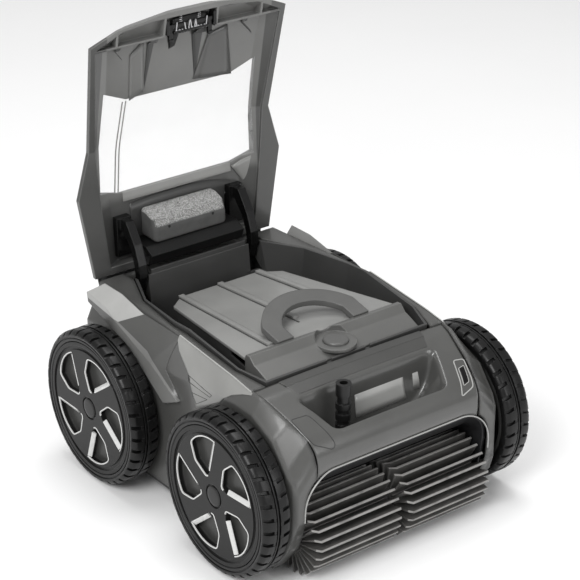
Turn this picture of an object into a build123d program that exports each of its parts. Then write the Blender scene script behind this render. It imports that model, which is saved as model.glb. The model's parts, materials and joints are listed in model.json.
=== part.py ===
from build123d import *

import math
import os

# Pool cleaner with four driven wheels, two brush rollers, a lift-out filter and a hinged lid.
# Millimetres. The front faces -Y, +X is the right side seen from the front, and +Z is up.
# The origin is on the floor, midway between the axles. The lid stands open.

# Stance and wheels
overall_width = 420.0
wheel_base = 272.0
wheel_diameter = 207.0
tyre_width = 40.0
tyre_depth = 15.0
tyre_shoulder = 5.0
tread_groove_width = 4.0
tread_groove_depth = 4.0
rim_face_inset = 1.0
rim_face_thickness = 12.0
rim_barrel_wall = 5.0
rim_ring_width = 5.0
rim_ring_depth = 2.0
spoke_pockets = 5
pocket_depth = 9.0
hub_diameter = 34.0
hub_cap_diameter = 26.0
hub_groove_width = 2.5
rear_rim_turn = 32.0
axle_diameter = 14.0
wheel_gap = 7.0

# Play between pieces
running_gap = 0.05
panel_gap = 0.3
hand_gap = 3.0

# Walls
wall = 3.0
tray_wall = 4.0
tray_floor_drop = 85.5
bay_floor_drop = 4.0

# Gear train on each side
gear_module = 2.0
axle_teeth = 66
idler_teeth = 32
pinion_teeth = 21
brush_teeth = 14
gear_width = 10.0
gear_backlash = 0.6
gear_side_gap = 3.0
pinion_drop = 37.5
stud_diameter = 10.0
bush_wall = 4.0
motor_diameter = 48.0
motor_length = 76.0
motor_shaft_diameter = 8.0
motor_shaft_depth = 20.0
box_gap = 9.0
box_chute_gap = 5.6
box_length = 84.0
box_height = 60.0

# Brush rollers
brush_diameter = 96.0
brush_core_diameter = 40.0
brush_blades = 24
blade_thickness = 2.4
brush_floor_gap = 1.0
brush_shaft_diameter = 12.0
brush_middle_gap = 10.0
brush_end_gap = 2.0
bracket_thickness = 5.0
bracket_eye_diameter = 30.0
tunnel_gap = 5.0

# Body form, heights above the axle and lengths from the nearer axle
crest_inset = 13.0
crest_rise = 136.5
belt_rise = 86.5
fender_rise = 101.5
leg_drop = 91.5
tail_length = 74.0
shoulder_length = 70.0
nose_length = 94.0
deck_length = 14.0
tunnel_corner = 12.0
arch_corner = 43.0
recess_rear_width = 220.0
recess_front_width = 176.0
recess_depth = 66.0
recess_length = 53.0
recess_start = 27.0
seam_slope = 0.234

# Filter bay and lid hinge
rim_inset = 22.0
bay_draft = 16.0
hinge_back = 59.0
hinge_rise = 116.5
hinge_pin_diameter = 8.0
hinge_arm_width = 12.0
hinge_arm_inset = 73.0
hinge_ear_width = 5.0
hinge_eye_diameter = 18.0
hinge_slot_depth = 22.0

# Lid
lid_front_reach = 32.0
lid_edge_rise = 16.0
lid_depth = 20.0
lid_recess = 17.0
lid_widest = 129.0
lid_waist = 191.0
lid_corner_back = 25.0
lid_shoulder_back = 8.5
window_bottom = 123.0
window_height = 138.0
float_arm_gap = 32.0
float_screw_inset = 23.0
shelf_overhang = 16.0
latch_width = 76.0
latch_travel = 6.0
lip_wall = 7.0
hook_width = 6.0
hook_inset = 8.0
catch_drop = 2.0
spring_x = 14.0
spring_diameter = 5.0
spring_wire = 0.8
spring_turns = 4
spring_shut = 5.0
plate_thickness = 5.0
hook_length = 11.0
hook_tip = 4.0

# Filter
filter_wall = 2.5
cover_thickness = 4.0
cover_tilt = 4.77
button_diameter = 32.0
button_travel = 3.0
button_depth = 8.0
tongue_margin = 10.0
cover_half_inset = 44.0
cover_length = 213.0
rib_width = 7.5
rib_height = 3.0
handle_half = 71.0
handle_length = 75.0
handle_band = 24.0
handle_thickness = 8.0
handle_tilt = 13.0
mesh_length = 150.0
mesh_height = 76.0
mesh_thickness = 1.0

# Intake and outlet
intake_width = 190.0
intake_length = 22.0
intake_setback = 62.0
propeller_diameter = 62.0
propeller_blades = 4
pump_diameter = 68.0
pump_length = 108.0

# Screws
screw_diameter = 4.0
screw_head = 8.0
screw_head_height = 2.5
screw_length = 12.0
boss_diameter = 14.0
screw_inset = 15.0
screw_pitch = 120.0

# Places that follow from the sizes above
axle_z = wheel_diameter / 2
front_y = -wheel_base / 2
rear_y = wheel_base / 2
side_x = overall_width / 2 - tyre_width - wheel_gap
side_inner = side_x - wall
gear_x = side_inner - gear_side_gap - gear_width
cheek_x = gear_x - gear_side_gap
tray_x = cheek_x - tray_wall
tray_floor = axle_z - tray_floor_drop
bay_floor = axle_z - bay_floor_drop
cover_front = front_y + 61
cover_z = axle_z + 132.5
cover_half = side_x - cover_half_inset
window_middle = 15.0
hinge_y = rear_y + hinge_back
hinge_arm_centre = side_x - hinge_arm_inset
hinge_z = axle_z + hinge_rise
lid_reach = hinge_y - (front_y - lid_front_reach)
pinion_z = axle_z - pinion_drop
brush_z = brush_diameter / 2 + brush_floor_gap
sides = ((-1, "left"), (1, "right"))
ends = ((front_y, "front"), (rear_y, "rear"))

os.makedirs("parts", exist_ok=True)


def save(part, name):
    """Label a finished piece and write it to its own file."""
    part.label = name
    export_step(part, f"parts/{name}.step")


def pitch_radius(teeth):
    return gear_module * teeth / 2


def meeting_point(a, reach_a, b, reach_b, turn):
    """The point at reach_a from a and reach_b from b, on the side that turn says."""
    span = math.hypot(b[0] - a[0], b[1] - a[1])
    along = (reach_a**2 - reach_b**2 + span**2) / (2 * span)
    off = turn * math.sqrt(reach_a**2 - along**2)
    ux, uy = (b[0] - a[0]) / span, (b[1] - a[1]) / span
    return a[0] + along * ux - off * uy, a[1] + along * uy + off * ux


def mesh_phase(a, teeth_a, phase_a, b, teeth_b):
    """The angle of gear b's first tooth that puts a gap of b against a tooth of a."""
    toward = math.degrees(math.atan2(b[1] - a[1], b[0] - a[0]))
    step_a, step_b = 360 / teeth_a, 360 / teeth_b
    along_a = ((toward - phase_a) / step_a) % 1
    return toward + 180 - step_b * (0.5 - along_a)


def tooth_points(teeth, phase):
    """Corners of a gear with straight tooth flanks, four to a tooth."""
    radius = pitch_radius(teeth)
    flank = math.tan(math.radians(20))
    half = math.pi * gear_module / 4 - gear_backlash / 2
    levels = ((-1.25, 1), (0.9, 1), (0.9, -1), (-1.25, -1))
    points = []
    for tooth in range(teeth):
        middle = math.radians(phase + tooth * 360 / teeth)
        for level, hand in levels:
            reach = radius + level * gear_module
            angle = middle - hand * (half - level * gear_module * flank) / radius
            points.append((reach * math.cos(angle), reach * math.sin(angle)))
    return points


def gear_sketch(teeth, phase, centre, bore_radius):
    """A flat-flanked gear with a six-sided bore, drawn in the current plane."""
    with Locations(centre):
        Polygon(*tooth_points(teeth, phase), align=None)
        RegularPolygon(bore_radius, 6, mode=Mode.SUBTRACT)


crest_x = side_x - crest_inset
crest_z = axle_z + crest_rise
belt_z = axle_z + belt_rise
fender_z = axle_z + fender_rise
foot_z = tray_floor + wall
nose_y = front_y - nose_length
leg_foot = axle_z - leg_drop
# Half sections of the body from the tail to the nose: y, then the upper edge, the widest line
# below it and the foot as (x, z), and whether the section is closed below
tail_x = side_x - 8
body_stations = (
    (rear_y + tail_length, (crest_x - 28, crest_z - 8), (tail_x, belt_z - 4), (tail_x, foot_z + 20), False),
    (rear_y + shoulder_length, (crest_x - 10, crest_z - 2), (side_x, belt_z), (side_x, foot_z), False),
    (8, (crest_x, crest_z), (side_x, belt_z), (side_x, foot_z), False),
    (front_y + 36, (crest_x, crest_z - 11), (side_x, fender_z), (side_x, foot_z), False),
    (front_y - deck_length, (crest_x, crest_z - 19), (side_x, fender_z - 2), (side_x, foot_z), False),
    (front_y - 54, (crest_x - 8, crest_z - 37), (side_x, axle_z + 82), (side_x, leg_foot), True),
    (front_y - 80, (crest_x - 20, crest_z - 52), (side_x, axle_z + 50), (side_x, leg_foot + 34), True),
    (front_y - 89, (crest_x - 23, crest_z - 63), (side_x - 3, axle_z + 37), (side_x - 3, leg_foot + 56), True),
    (nose_y, (crest_x - 26, crest_z - 76), (tail_x, axle_z + 24), (tail_x, axle_z - 12), True),
)


def body_form(inset):
    """The body's outer form, drawn in by inset, as a ruled skin through its sections."""
    last = len(body_stations) - 1
    with BuildPart() as form:
        for index, (y, crest, belt, foot, closed) in enumerate(body_stations):
            place = y - inset if index == 0 else y + inset if index == last else y
            low = foot[1] + inset if closed else foot[1] - 4 * inset
            half = ((crest[0] - inset, crest[1] - inset), (belt[0] - inset, belt[1]), (foot[0] - inset, low))
            mirrored = tuple((-x, z) for x, z in reversed(half))
            with BuildSketch(Plane.XZ.offset(-place)):
                Polygon(*half, *mirrored, align=None)
        loft(ruled=True)
    return form.part


def bay_outline(draw_in):
    """Plan of the filter bay's rim, drawn in by draw_in."""
    half = (
        (side_x - 64 - draw_in, hinge_y - 11 - draw_in),
        (side_x - 35 - draw_in, rear_y - 16),
        (side_x - rim_inset - wall - draw_in, rear_y - 96),
        (side_x - rim_inset - wall - draw_in, front_y + 46),
        (side_x - 37 - draw_in, front_y + 6 + draw_in),
    )
    return half + tuple((-x, y) for x, y in reversed(half))


def bay_form(offset):
    """The filter bay's tapered inside, grown by offset."""
    with BuildPart() as form:
        for height, draw_in in ((bay_floor - offset, bay_draft), (crest_z + 10, 0)):
            with BuildSketch(Plane.XY.offset(height)):
                Polygon(*bay_outline(draw_in - offset), align=None)
        loft(ruled=True)
    return form.part


body_outer = body_form(0)
body_inner = body_form(wall)

# Gear centres and the angles that bring their teeth into mesh, as (y, z)
axle_reach = pitch_radius(axle_teeth) + pitch_radius(idler_teeth)
pinion_reach = pitch_radius(idler_teeth) + pitch_radius(pinion_teeth)
brush_reach = pitch_radius(axle_teeth) + pitch_radius(brush_teeth)
front_axle = (front_y, axle_z)
rear_axle = (rear_y, axle_z)
pinion_centre = (0.0, pinion_z)
front_idler = meeting_point(front_axle, axle_reach, pinion_centre, pinion_reach, 1)
rear_idler = (-front_idler[0], front_idler[1])
brush_drop = axle_z - brush_z
brush_y = front_y - math.sqrt(brush_reach**2 - brush_drop**2)
brush_centre = (brush_y, brush_z)
front_idler_phase = mesh_phase(front_axle, axle_teeth, 0, front_idler, idler_teeth)
pinion_phase = mesh_phase(front_idler, idler_teeth, front_idler_phase, pinion_centre, pinion_teeth)
rear_idler_phase = mesh_phase(pinion_centre, pinion_teeth, pinion_phase, rear_idler, idler_teeth)
rear_axle_phase = mesh_phase(rear_idler, idler_teeth, rear_idler_phase, rear_axle, axle_teeth)
brush_phase = mesh_phase(front_axle, axle_teeth, 0, brush_centre, brush_teeth)
axle_phase = {"front": 0, "rear": rear_axle_phase}
rim_turn = {"front": 0, "rear": rear_rim_turn}
tray_front = brush_y + brush_diameter / 2 + tunnel_gap
tray_rear = rear_y + tail_length - 2 * wall - 4
hex_radius = axle_diameter / 2 - 0.5
stud_radius = stud_diameter / 2
shaft_radius = motor_shaft_diameter / 2
brush_shaft_radius = brush_shaft_diameter / 2


def wheel_plane(side, y):
    """Plane on a wheel's inner face, looking outwards, with its X axis along the body."""
    inner_face = side * (overall_width / 2 - tyre_width)
    return Plane(origin=(inner_face, y, axle_z), x_dir=(0, side, 0), z_dir=(side, 0, 0))


# Wheels: a tyre on a dished rim, an axle with six flats, and the gear on it
rim_radius = wheel_diameter / 2 - tyre_depth
face_top = tyre_width - rim_face_inset


def rim_point(share, angle):
    """A point on the rim's face, at a share of its pocketed radius."""
    reach = share * (rim_radius - 2 * rim_ring_width)
    return reach * math.cos(math.radians(angle)), reach * math.sin(math.radians(angle))


# One spoke pocket: a straight leading edge, a blunt inner corner and a round outer edge
with BuildSketch() as pocket:
    with BuildLine():
        Polyline(
            rim_point(0.96, 87), rim_point(0.39, 104), rim_point(0.32, 124), rim_point(0.63, 138),
            rim_point(0.90, 130),
        )
        ThreePointArc(rim_point(0.90, 130), rim_point(0.96, 108), rim_point(0.96, 87))
    make_face()

for side, side_name in sides:
    for y, end_name in ends:
        base = wheel_plane(side, y)
        name = f"{end_name}_{side_name}"
        with BuildPart() as tyre:
            with BuildSketch(base):
                Circle(wheel_diameter / 2)
                Circle(rim_radius, mode=Mode.SUBTRACT)
            extrude(amount=tyre_width)
            rims = tyre.edges().filter_by(GeomType.CIRCLE).group_by(SortBy.RADIUS)[-1]
            chamfer(rims, tyre_shoulder)
            with BuildSketch(base.offset((tyre_width - tread_groove_width) / 2)):
                Circle(wheel_diameter / 2 + 1)
                Circle(wheel_diameter / 2 - tread_groove_depth, mode=Mode.SUBTRACT)
            extrude(amount=tread_groove_width, mode=Mode.SUBTRACT)
        save(tyre.part, f"{name}_tyre")

        with BuildPart() as rim:
            with BuildSketch(base.offset(2)):
                Circle(rim_radius)
                Circle(rim_radius - rim_barrel_wall, mode=Mode.SUBTRACT)
            extrude(amount=face_top - 2)
            with BuildSketch(base.offset(face_top - rim_face_thickness)):
                Circle(rim_radius)
            extrude(amount=rim_face_thickness)
            with BuildSketch(base.offset(wheel_gap)):
                Circle(hub_diameter / 2)
            extrude(amount=face_top - wheel_gap)
            with BuildSketch(base.offset(face_top - rim_ring_depth)):
                Circle(rim_radius - rim_ring_width)
                Circle(rim_radius - 2 * rim_ring_width, mode=Mode.SUBTRACT)
            extrude(amount=rim_ring_depth + 1, mode=Mode.SUBTRACT)
            with BuildSketch(base.offset(face_top - rim_ring_depth)):
                Circle(hub_cap_diameter / 2 + hub_groove_width)
                Circle(hub_cap_diameter / 2, mode=Mode.SUBTRACT)
            extrude(amount=rim_ring_depth + 1, mode=Mode.SUBTRACT)
            with BuildSketch(base.offset(face_top - pocket_depth)):
                with PolarLocations(0, spoke_pockets, start_angle=rim_turn[end_name]):
                    add(pocket.sketch)
            extrude(amount=pocket_depth + 1, mode=Mode.SUBTRACT)
            with BuildSketch(base):
                Circle(axle_diameter / 2)
            extrude(amount=face_top - rim_face_thickness, mode=Mode.SUBTRACT)
        save(rim.part, f"{name}_rim")

        # The axle runs in its bush and in the tray's cheek, and is six-sided under the gear
        flats_start = side_x + wheel_gap - gear_x
        with BuildPart() as axle:
            with BuildSketch(base.offset(-(side_x + wheel_gap - gear_x - gear_width))):
                Circle(axle_diameter / 2)
            extrude(amount=side_x + wheel_gap - gear_x - gear_width + face_top - rim_face_thickness)
            with BuildSketch(base.offset(-flats_start)):
                RegularPolygon(hex_radius, 6)
            extrude(amount=gear_width)
            with BuildSketch(base.offset(-(side_x + wheel_gap - tray_x))):
                Circle(hex_radius * math.cos(math.pi / 6))
            extrude(amount=gear_x - tray_x)
        save(axle.part, f"{name}_axle")

        with BuildPart() as axle_gear:
            with BuildSketch(Plane.YZ.offset(side * gear_x)):
                gear_sketch(axle_teeth, axle_phase[end_name], (y, axle_z), hex_radius)
            extrude(amount=side * gear_width)
        save(axle_gear.part, f"{name}_axle_gear")
axle_journal = hex_radius * math.cos(math.pi / 6)

# Idler gears turn on studs, each on its own bush
for side, side_name in sides:
    for centre, phase, end_name in (
        (front_idler, front_idler_phase, "front"),
        (rear_idler, rear_idler_phase, "rear"),
    ):
        with BuildPart() as idler:
            with BuildSketch(Plane.YZ.offset(side * gear_x)):
                gear_sketch(idler_teeth, phase, centre, stud_radius + bush_wall)
            extrude(amount=side * gear_width)
        with BuildPart() as idler_bush:
            with BuildSketch(Plane.YZ.offset(side * gear_x)):
                with Locations(centre):
                    RegularPolygon(stud_radius + bush_wall, 6)
                    Circle(stud_radius + running_gap, mode=Mode.SUBTRACT)
            extrude(amount=side * gear_width)
        save(Compound(children=[idler.part, idler_bush.part]), f"{end_name}_{side_name}_idler")

# Pinions on the drive motors' shafts
for side, side_name in sides:
    with BuildPart() as pinion:
        with BuildSketch(Plane.YZ.offset(side * gear_x)):
            gear_sketch(pinion_teeth, pinion_phase, pinion_centre, shaft_radius + 2)
        extrude(amount=side * gear_width)
    with BuildPart() as pinion_shaft:
        with BuildSketch(Plane.YZ.offset(side * gear_x)):
            with Locations(pinion_centre):
                RegularPolygon(shaft_radius + 2, 6)
        extrude(amount=side * gear_width)
        with BuildSketch(Plane.YZ.offset(side * (tray_x - motor_shaft_depth))):
            with Locations(pinion_centre):
                Circle(shaft_radius)
        extrude(amount=side * (gear_x - tray_x + motor_shaft_depth))
    save(Compound(children=[pinion.part, pinion_shaft.part]), f"{side_name}_pinion")

# Brush rollers: ribbed rubber sleeve, shaft and end gear
brush_start = brush_middle_gap / 2
brush_length = tray_x - brush_end_gap - brush_start
brush_radius = brush_diameter / 2
brush_core_radius = brush_core_diameter / 2
for side, side_name in sides:
    with BuildPart() as roller:
        with BuildSketch(Plane.YZ.offset(side * brush_start)):
            with Locations(brush_centre):
                Circle(brush_core_radius)
                with PolarLocations(brush_radius / 2, brush_blades):
                    Rectangle(brush_radius, blade_thickness)
                Circle(brush_shaft_radius, mode=Mode.SUBTRACT)
        extrude(amount=side * brush_length)
    save(roller.part, f"{side_name}_brush")

    with BuildPart() as brush_shaft:
        with BuildSketch(Plane.YZ.offset(side * panel_gap)):
            with Locations(brush_centre):
                Circle(brush_shaft_radius)
        extrude(amount=side * (gear_x - panel_gap))
        with BuildSketch(Plane.YZ.offset(side * gear_x)):
            with Locations(brush_centre):
                RegularPolygon(brush_shaft_radius - 0.5, 6)
        extrude(amount=side * gear_width)
    save(brush_shaft.part, f"{side_name}_brush_shaft")

    with BuildPart() as brush_gear:
        with BuildSketch(Plane.YZ.offset(side * gear_x)):
            gear_sketch(brush_teeth, brush_phase, brush_centre, brush_shaft_radius - 0.5)
        extrude(amount=side * gear_width)
    save(brush_gear.part, f"{side_name}_brush_gear")


# Brush tunnel: y, height of the ceiling and radius of its upper corners, opening out towards the nose
ceiling = (
    (tray_front, brush_z + 42, tunnel_corner), (tray_front - 24, brush_z + 56, tunnel_corner),
    (brush_y - 6, brush_z + 66, tunnel_corner), (nose_y - 6, brush_z + 104, arch_corner),
)


def tunnel_form(half_width, lift):
    """The space under the ceiling line raised by lift, with rounded upper corners."""
    with BuildPart() as form:
        for y, z, radius in ceiling:
            top = z + lift
            corner = radius + lift
            turn = corner * (1 - math.sqrt(0.5))
            with BuildSketch(Plane.XZ.offset(-y)):
                with BuildLine():
                    Polyline(
                        (-half_width, top - corner), (-half_width, -wall), (half_width, -wall),
                        (half_width, top - corner),
                    )
                    for side in (1, -1):
                        ThreePointArc(
                            (side * half_width, top - corner), (side * (half_width - turn), top - turn),
                            (side * (half_width - corner), top),
                        )
                    Line((half_width - corner, top), (corner - half_width, top))
                make_face()
        loft(ruled=True)
    return form.part


# Base tray: floor, brush tunnel with cheeks that carry the gears, and the outlet at the rear
intake_y = tray_front + intake_setback
chute_rear = intake_y + intake_length / 2 + wall
outlet_z = tray_floor + wall + propeller_diameter / 2 + 6
outlet_radius = propeller_diameter / 2 + 2
tray_top = bay_floor - wall
with BuildPart() as tunnel_liner:
    add(tunnel_form(cheek_x, wall))
    with BuildSketch(Plane.YZ.offset(-cheek_x)):
        Polygon(
            (tray_front, tray_floor), (front_y - 54, leg_foot + 5), (front_y - 80, leg_foot + 40),
            (nose_y + 2 * wall, axle_z - 4), (nose_y + 2 * wall, crest_z), (tray_front, crest_z), align=None,
        )
    extrude(amount=2 * cheek_x, mode=Mode.INTERSECT)
with BuildPart() as base_tray:
    with BuildSketch(Plane.XY.offset(tray_floor)):
        with Locations((0, (tray_front + tray_rear) / 2)):
            Rectangle(2 * cheek_x, tray_rear - tray_front)
    extrude(amount=tray_top - tray_floor)
    with BuildSketch(Plane.XY.offset(tray_floor)):
        with Locations((0, (tray_front + tray_rear) / 2)):
            Rectangle(2 * side_x, tray_rear - tray_front)
    extrude(amount=wall)
    add(tunnel_liner.part)
    with BuildSketch(Plane.XY.offset(tray_floor + wall)):
        with Locations((0, (tray_front + tray_rear) / 2)):
            Rectangle(2 * tray_x, tray_rear - tray_front - 2 * wall)
    extrude(amount=tray_top - tray_floor, mode=Mode.SUBTRACT)
    with BuildSketch(Plane.XY.offset(tray_floor)):
        with GridLocations(2 * (tray_x - screw_inset), screw_pitch, 2, 3):
            Circle(boss_diameter / 2)
    extrude(amount=screw_length + wall)
    add(tunnel_form(tray_x, 0), mode=Mode.SUBTRACT)
    for side, side_name in sides:
        with BuildSketch(Plane.YZ.offset(side * tray_x)):
            for middle, half_top, top in (
                (front_y, 16, axle_z + 14), (0, rear_idler[0] + 9, rear_idler[1] + 12),
                (rear_y, 16, axle_z + 14),
            ):
                Polygon(
                    (middle - half_top - 8, tray_top - wall), (middle - half_top, top),
                    (middle + half_top, top), (middle + half_top + 8, tray_top - wall), align=None,
                )
        extrude(amount=side * tray_wall)
        with BuildSketch(Plane.YZ.offset(side * tray_x)):
            with Locations(front_axle, rear_axle):
                Circle(axle_journal + running_gap)
            with Locations(brush_centre):
                Circle(brush_shaft_radius + running_gap)
            with Locations(pinion_centre):
                Circle(shaft_radius + 1)
            with Locations(front_idler, rear_idler):
                Circle(stud_radius)
        extrude(amount=side * tray_wall, mode=Mode.SUBTRACT)
    with BuildSketch(Plane.XZ.offset(-tray_rear)):
        with Locations((0, outlet_z)):
            Circle(outlet_radius)
    extrude(amount=wall + 1, both=True, mode=Mode.SUBTRACT)
    with BuildSketch(Plane.XY.offset(tray_floor)):
        with Locations((0, intake_y)):
            Rectangle(intake_width, intake_length)
    extrude(amount=wall, mode=Mode.SUBTRACT)
    with BuildSketch(Plane.XY.offset(tray_floor)):
        with GridLocations(2 * (tray_x - screw_inset), screw_pitch, 2, 3):
            Circle(screw_head / 2)
    extrude(amount=screw_head_height, mode=Mode.SUBTRACT)
    with BuildSketch(Plane.XY.offset(tray_floor)):
        with GridLocations(2 * (tray_x - screw_inset), screw_pitch, 2, 3):
            Circle(screw_diameter / 2)
    extrude(amount=screw_length, mode=Mode.SUBTRACT)
save(base_tray.part, "base_tray")

# Body shell: the hood over the gears and the fenders, open at the top, the front and below
bumper_back = front_y + 3
with BuildPart() as seam_wedge:
    with BuildSketch(Plane.XY):
        with BuildLine():
            Polyline(
                (crest_x - 2, bumper_back), (crest_x - 2 - seam_slope * nose_length, nose_y - 10),
                (-crest_x + 2 + seam_slope * nose_length, nose_y - 10), (-crest_x + 2, bumper_back),
                close=True,
            )
        make_face()
    extrude(amount=2 * crest_z)
seam_form = seam_wedge.part

arch_form = tunnel_form(cheek_x + panel_gap, wall + panel_gap)

hook_x = latch_width / 2 - hook_inset
ear_inner = hinge_arm_centre - hinge_arm_width / 2 - hand_gap
ear_outer = hinge_arm_centre + hinge_arm_width / 2 + hand_gap
slot_width = ear_outer - ear_inner + 2 * hinge_ear_width + 2 * panel_gap
with BuildPart() as body_shell:
    add(body_outer)
    add(body_inner, mode=Mode.SUBTRACT)
    with BuildSketch(Plane.XY.offset(bay_floor + 60)):
        Polygon(*bay_outline(-wall - panel_gap), align=None)
    extrude(amount=crest_z, mode=Mode.SUBTRACT)
    add(seam_form, mode=Mode.SUBTRACT)
    add(arch_form, mode=Mode.SUBTRACT)
    with BuildSketch(Plane.YZ.offset(-side_x - 1)):
        with Locations((front_y, axle_z), (rear_y, axle_z)):
            Circle(axle_diameter / 2 + bush_wall)
    extrude(amount=2 * side_x + 2, mode=Mode.SUBTRACT)
    with BuildSketch(Plane.XZ.offset(-rear_y - tail_length)):
        with Locations((0, outlet_z)):
            Circle(outlet_radius + wall)
    extrude(amount=tail_length, mode=Mode.SUBTRACT)
    with BuildSketch(Plane.XY.offset(hinge_z - hinge_slot_depth)):
        with Locations((-hinge_arm_centre, hinge_y), (hinge_arm_centre, hinge_y)):
            Rectangle(slot_width, hinge_eye_diameter + 2 * wall)
    extrude(amount=crest_z, mode=Mode.SUBTRACT)
save(body_shell.part, "body_shell")

# Bushes in the shell for the axles, and studs on the cheeks for the idlers
bushes = []
studs = []
for side, side_name in sides:
    for centre in (front_axle, rear_axle):
        with BuildPart() as bush:
            with BuildSketch(Plane.YZ.offset(side * (side_inner - 1))):
                with Locations(centre):
                    Circle(axle_diameter / 2 + bush_wall)
                    Circle(axle_diameter / 2 + running_gap, mode=Mode.SUBTRACT)
            extrude(amount=side * (wall + 2))
        bushes.append(bush.part)
    for centre in (front_idler, rear_idler):
        with BuildPart() as stud:
            with BuildSketch(Plane.YZ.offset(side * tray_x)):
                with Locations(centre):
                    Circle(stud_radius)
            extrude(amount=side * (gear_x + gear_width + 1 - tray_x))
        studs.append(stud.part)
save(Compound(children=bushes), "axle_bushes")
save(Compound(children=studs), "gear_studs")

# Rear fenders: faceted caps over the rear wheels, lying on the shell
fender_out = side_x + wheel_gap - 1.5
fender_in = crest_x + 1
for side, side_name in sides:
    with BuildPart() as fender:
        with BuildSketch(Plane.YZ.offset(side * fender_in)):
            Polygon(
                (rear_y + 54, crest_z - 10), (rear_y + 42, crest_z + 8), (rear_y + 2, crest_z + 8),
                (rear_y - 44, crest_z - 1.2), (rear_y - 124, crest_z - 2), (rear_y - 142, axle_z + 56),
                (rear_y - 116, axle_z + 36), (rear_y - 36, axle_z + 86), align=None,
            )
        with BuildSketch(Plane.YZ.offset(side * fender_out)):
            Polygon(
                (rear_y + 57, axle_z + 118), (rear_y + 59, axle_z + 131), (rear_y + 16, axle_z + 126),
                (rear_y - 7, axle_z + 114), (rear_y - 82, axle_z + 87), (rear_y - 140, axle_z + 56),
                (rear_y - 109, axle_z + 42), (rear_y - 33, axle_z + 91), align=None,
            )
        loft(ruled=True)
        add(body_outer, mode=Mode.SUBTRACT)
    save(fender.part, f"{side_name}_fender")

# Front bumper: nose, grab bar and the recess behind it
recess_rear = front_y - recess_start
recess_front = recess_rear - recess_length
recess_floor = crest_z - 24 - recess_depth


def recess_form(offset, bottom):
    """The hand recess behind the grab bar, grown by offset, from bottom up."""
    with BuildPart() as form:
        with BuildSketch(Plane.XY.offset(bottom)):
            Polygon(
                (recess_rear_width / 2 + offset, recess_rear + offset),
                (recess_front_width / 2 + offset, recess_front - offset),
                (-recess_front_width / 2 - offset, recess_front - offset),
                (-recess_rear_width / 2 - offset, recess_rear + offset), align=None,
            )
        extrude(amount=crest_z)
        fillet(form.edges().filter_by(Axis.Z), 14 + offset)
    return form.part


with BuildPart() as front_bumper:
    add(body_outer)
    add(body_inner, mode=Mode.SUBTRACT)
    add(recess_form(wall, recess_floor - wall))
    add(body_outer, mode=Mode.INTERSECT)
    add(recess_form(0, recess_floor), mode=Mode.SUBTRACT)
    add(seam_form, mode=Mode.INTERSECT)
    add(arch_form, mode=Mode.SUBTRACT)
save(front_bumper.part, "front_bumper")


# Filter bay: tapered liner with the intake chute below it and the lid's hinge ears behind it
rim_peak = (8, crest_z + 6)
rim_front_z = crest_z - 15
rim_rear_z = crest_z - 4
with BuildPart() as filter_bay:
    add(bay_form(wall))
    add(bay_form(0), mode=Mode.SUBTRACT)
    with BuildSketch(Plane.YZ.offset(-side_x)):
        Polygon(
            (hinge_y + 20, rim_rear_z), rim_peak, (front_y - 10, rim_front_z),
            (front_y - 10, 2 * crest_z), (hinge_y + 20, 2 * crest_z), align=None,
        )
    extrude(amount=2 * side_x, mode=Mode.SUBTRACT)
    with BuildSketch(Plane.XY.offset(rim_front_z - catch_drop)):
        with Locations((hook_x, front_y + 6), (-hook_x, front_y + 6)):
            Rectangle(hook_width + 2, 4 * wall)
    extrude(amount=crest_z, mode=Mode.SUBTRACT)
    with BuildSketch(Plane.YZ.offset(ear_inner - hinge_ear_width)):
        with Locations((hinge_y, hinge_z)):
            Polygon((-12.4, 10), (-9.6, 10), (-9, 24), (-11.6, 24), align=None)
    extrude(amount=-2 * (ear_inner - hinge_ear_width))
    with BuildSketch(Plane.XY.offset(tray_floor + wall)):
        with Locations((0, intake_y)):
            Rectangle(intake_width + 2 * wall, intake_length + 2 * wall)
    extrude(amount=bay_floor - tray_floor - wall)
    with BuildSketch(Plane.XY.offset(tray_floor + wall)):
        with Locations((0, intake_y)):
            Rectangle(intake_width, intake_length)
        with Locations((0, rear_y - 4)):
            Circle(propeller_diameter / 2 - 7)
    extrude(amount=bay_floor - tray_floor, mode=Mode.SUBTRACT)
    for side, side_name in sides:
        with BuildSketch(Plane.YZ.offset(side * (ear_inner - hinge_ear_width))):
            Polygon(
                (hinge_y - 17, hinge_z - 22), (hinge_y, hinge_z - hinge_eye_diameter / 2),
                (hinge_y, hinge_z + hinge_eye_diameter / 2), (hinge_y - 11, hinge_z + 8), align=None,
            )
            with Locations((hinge_y, hinge_z)):
                Circle(hinge_eye_diameter / 2)
        extrude(amount=side * (ear_outer - ear_inner + 2 * hinge_ear_width))
        with BuildSketch(Plane.YZ.offset(side * ear_inner)):
            Polygon(
                (hinge_y - 40, hinge_z - 22), (hinge_y + 20, hinge_z - 22), (hinge_y + 20, hinge_z + 40),
                (hinge_y - 40, hinge_z + 40), align=None,
            )
        extrude(amount=side * (ear_outer - ear_inner), mode=Mode.SUBTRACT)
        with BuildSketch(Plane.YZ.offset(side * (ear_inner - hinge_ear_width))):
            with Locations((hinge_y, hinge_z)):
                Circle(hinge_pin_diameter / 2)
        extrude(amount=side * (ear_outer - ear_inner + 2 * hinge_ear_width), mode=Mode.SUBTRACT)
save(filter_bay.part, "filter_bay")

pins = []
for side, side_name in sides:
    with BuildPart() as hinge_pin:
        with BuildSketch(Plane.YZ.offset(side * (ear_inner - hinge_ear_width))):
            with Locations((hinge_y, hinge_z)):
                Circle(hinge_pin_diameter / 2)
        extrude(amount=side * (ear_outer - ear_inner + 2 * hinge_ear_width))
    pins.append(hinge_pin.part)
save(Compound(children=pins), "hinge_pins")

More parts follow.
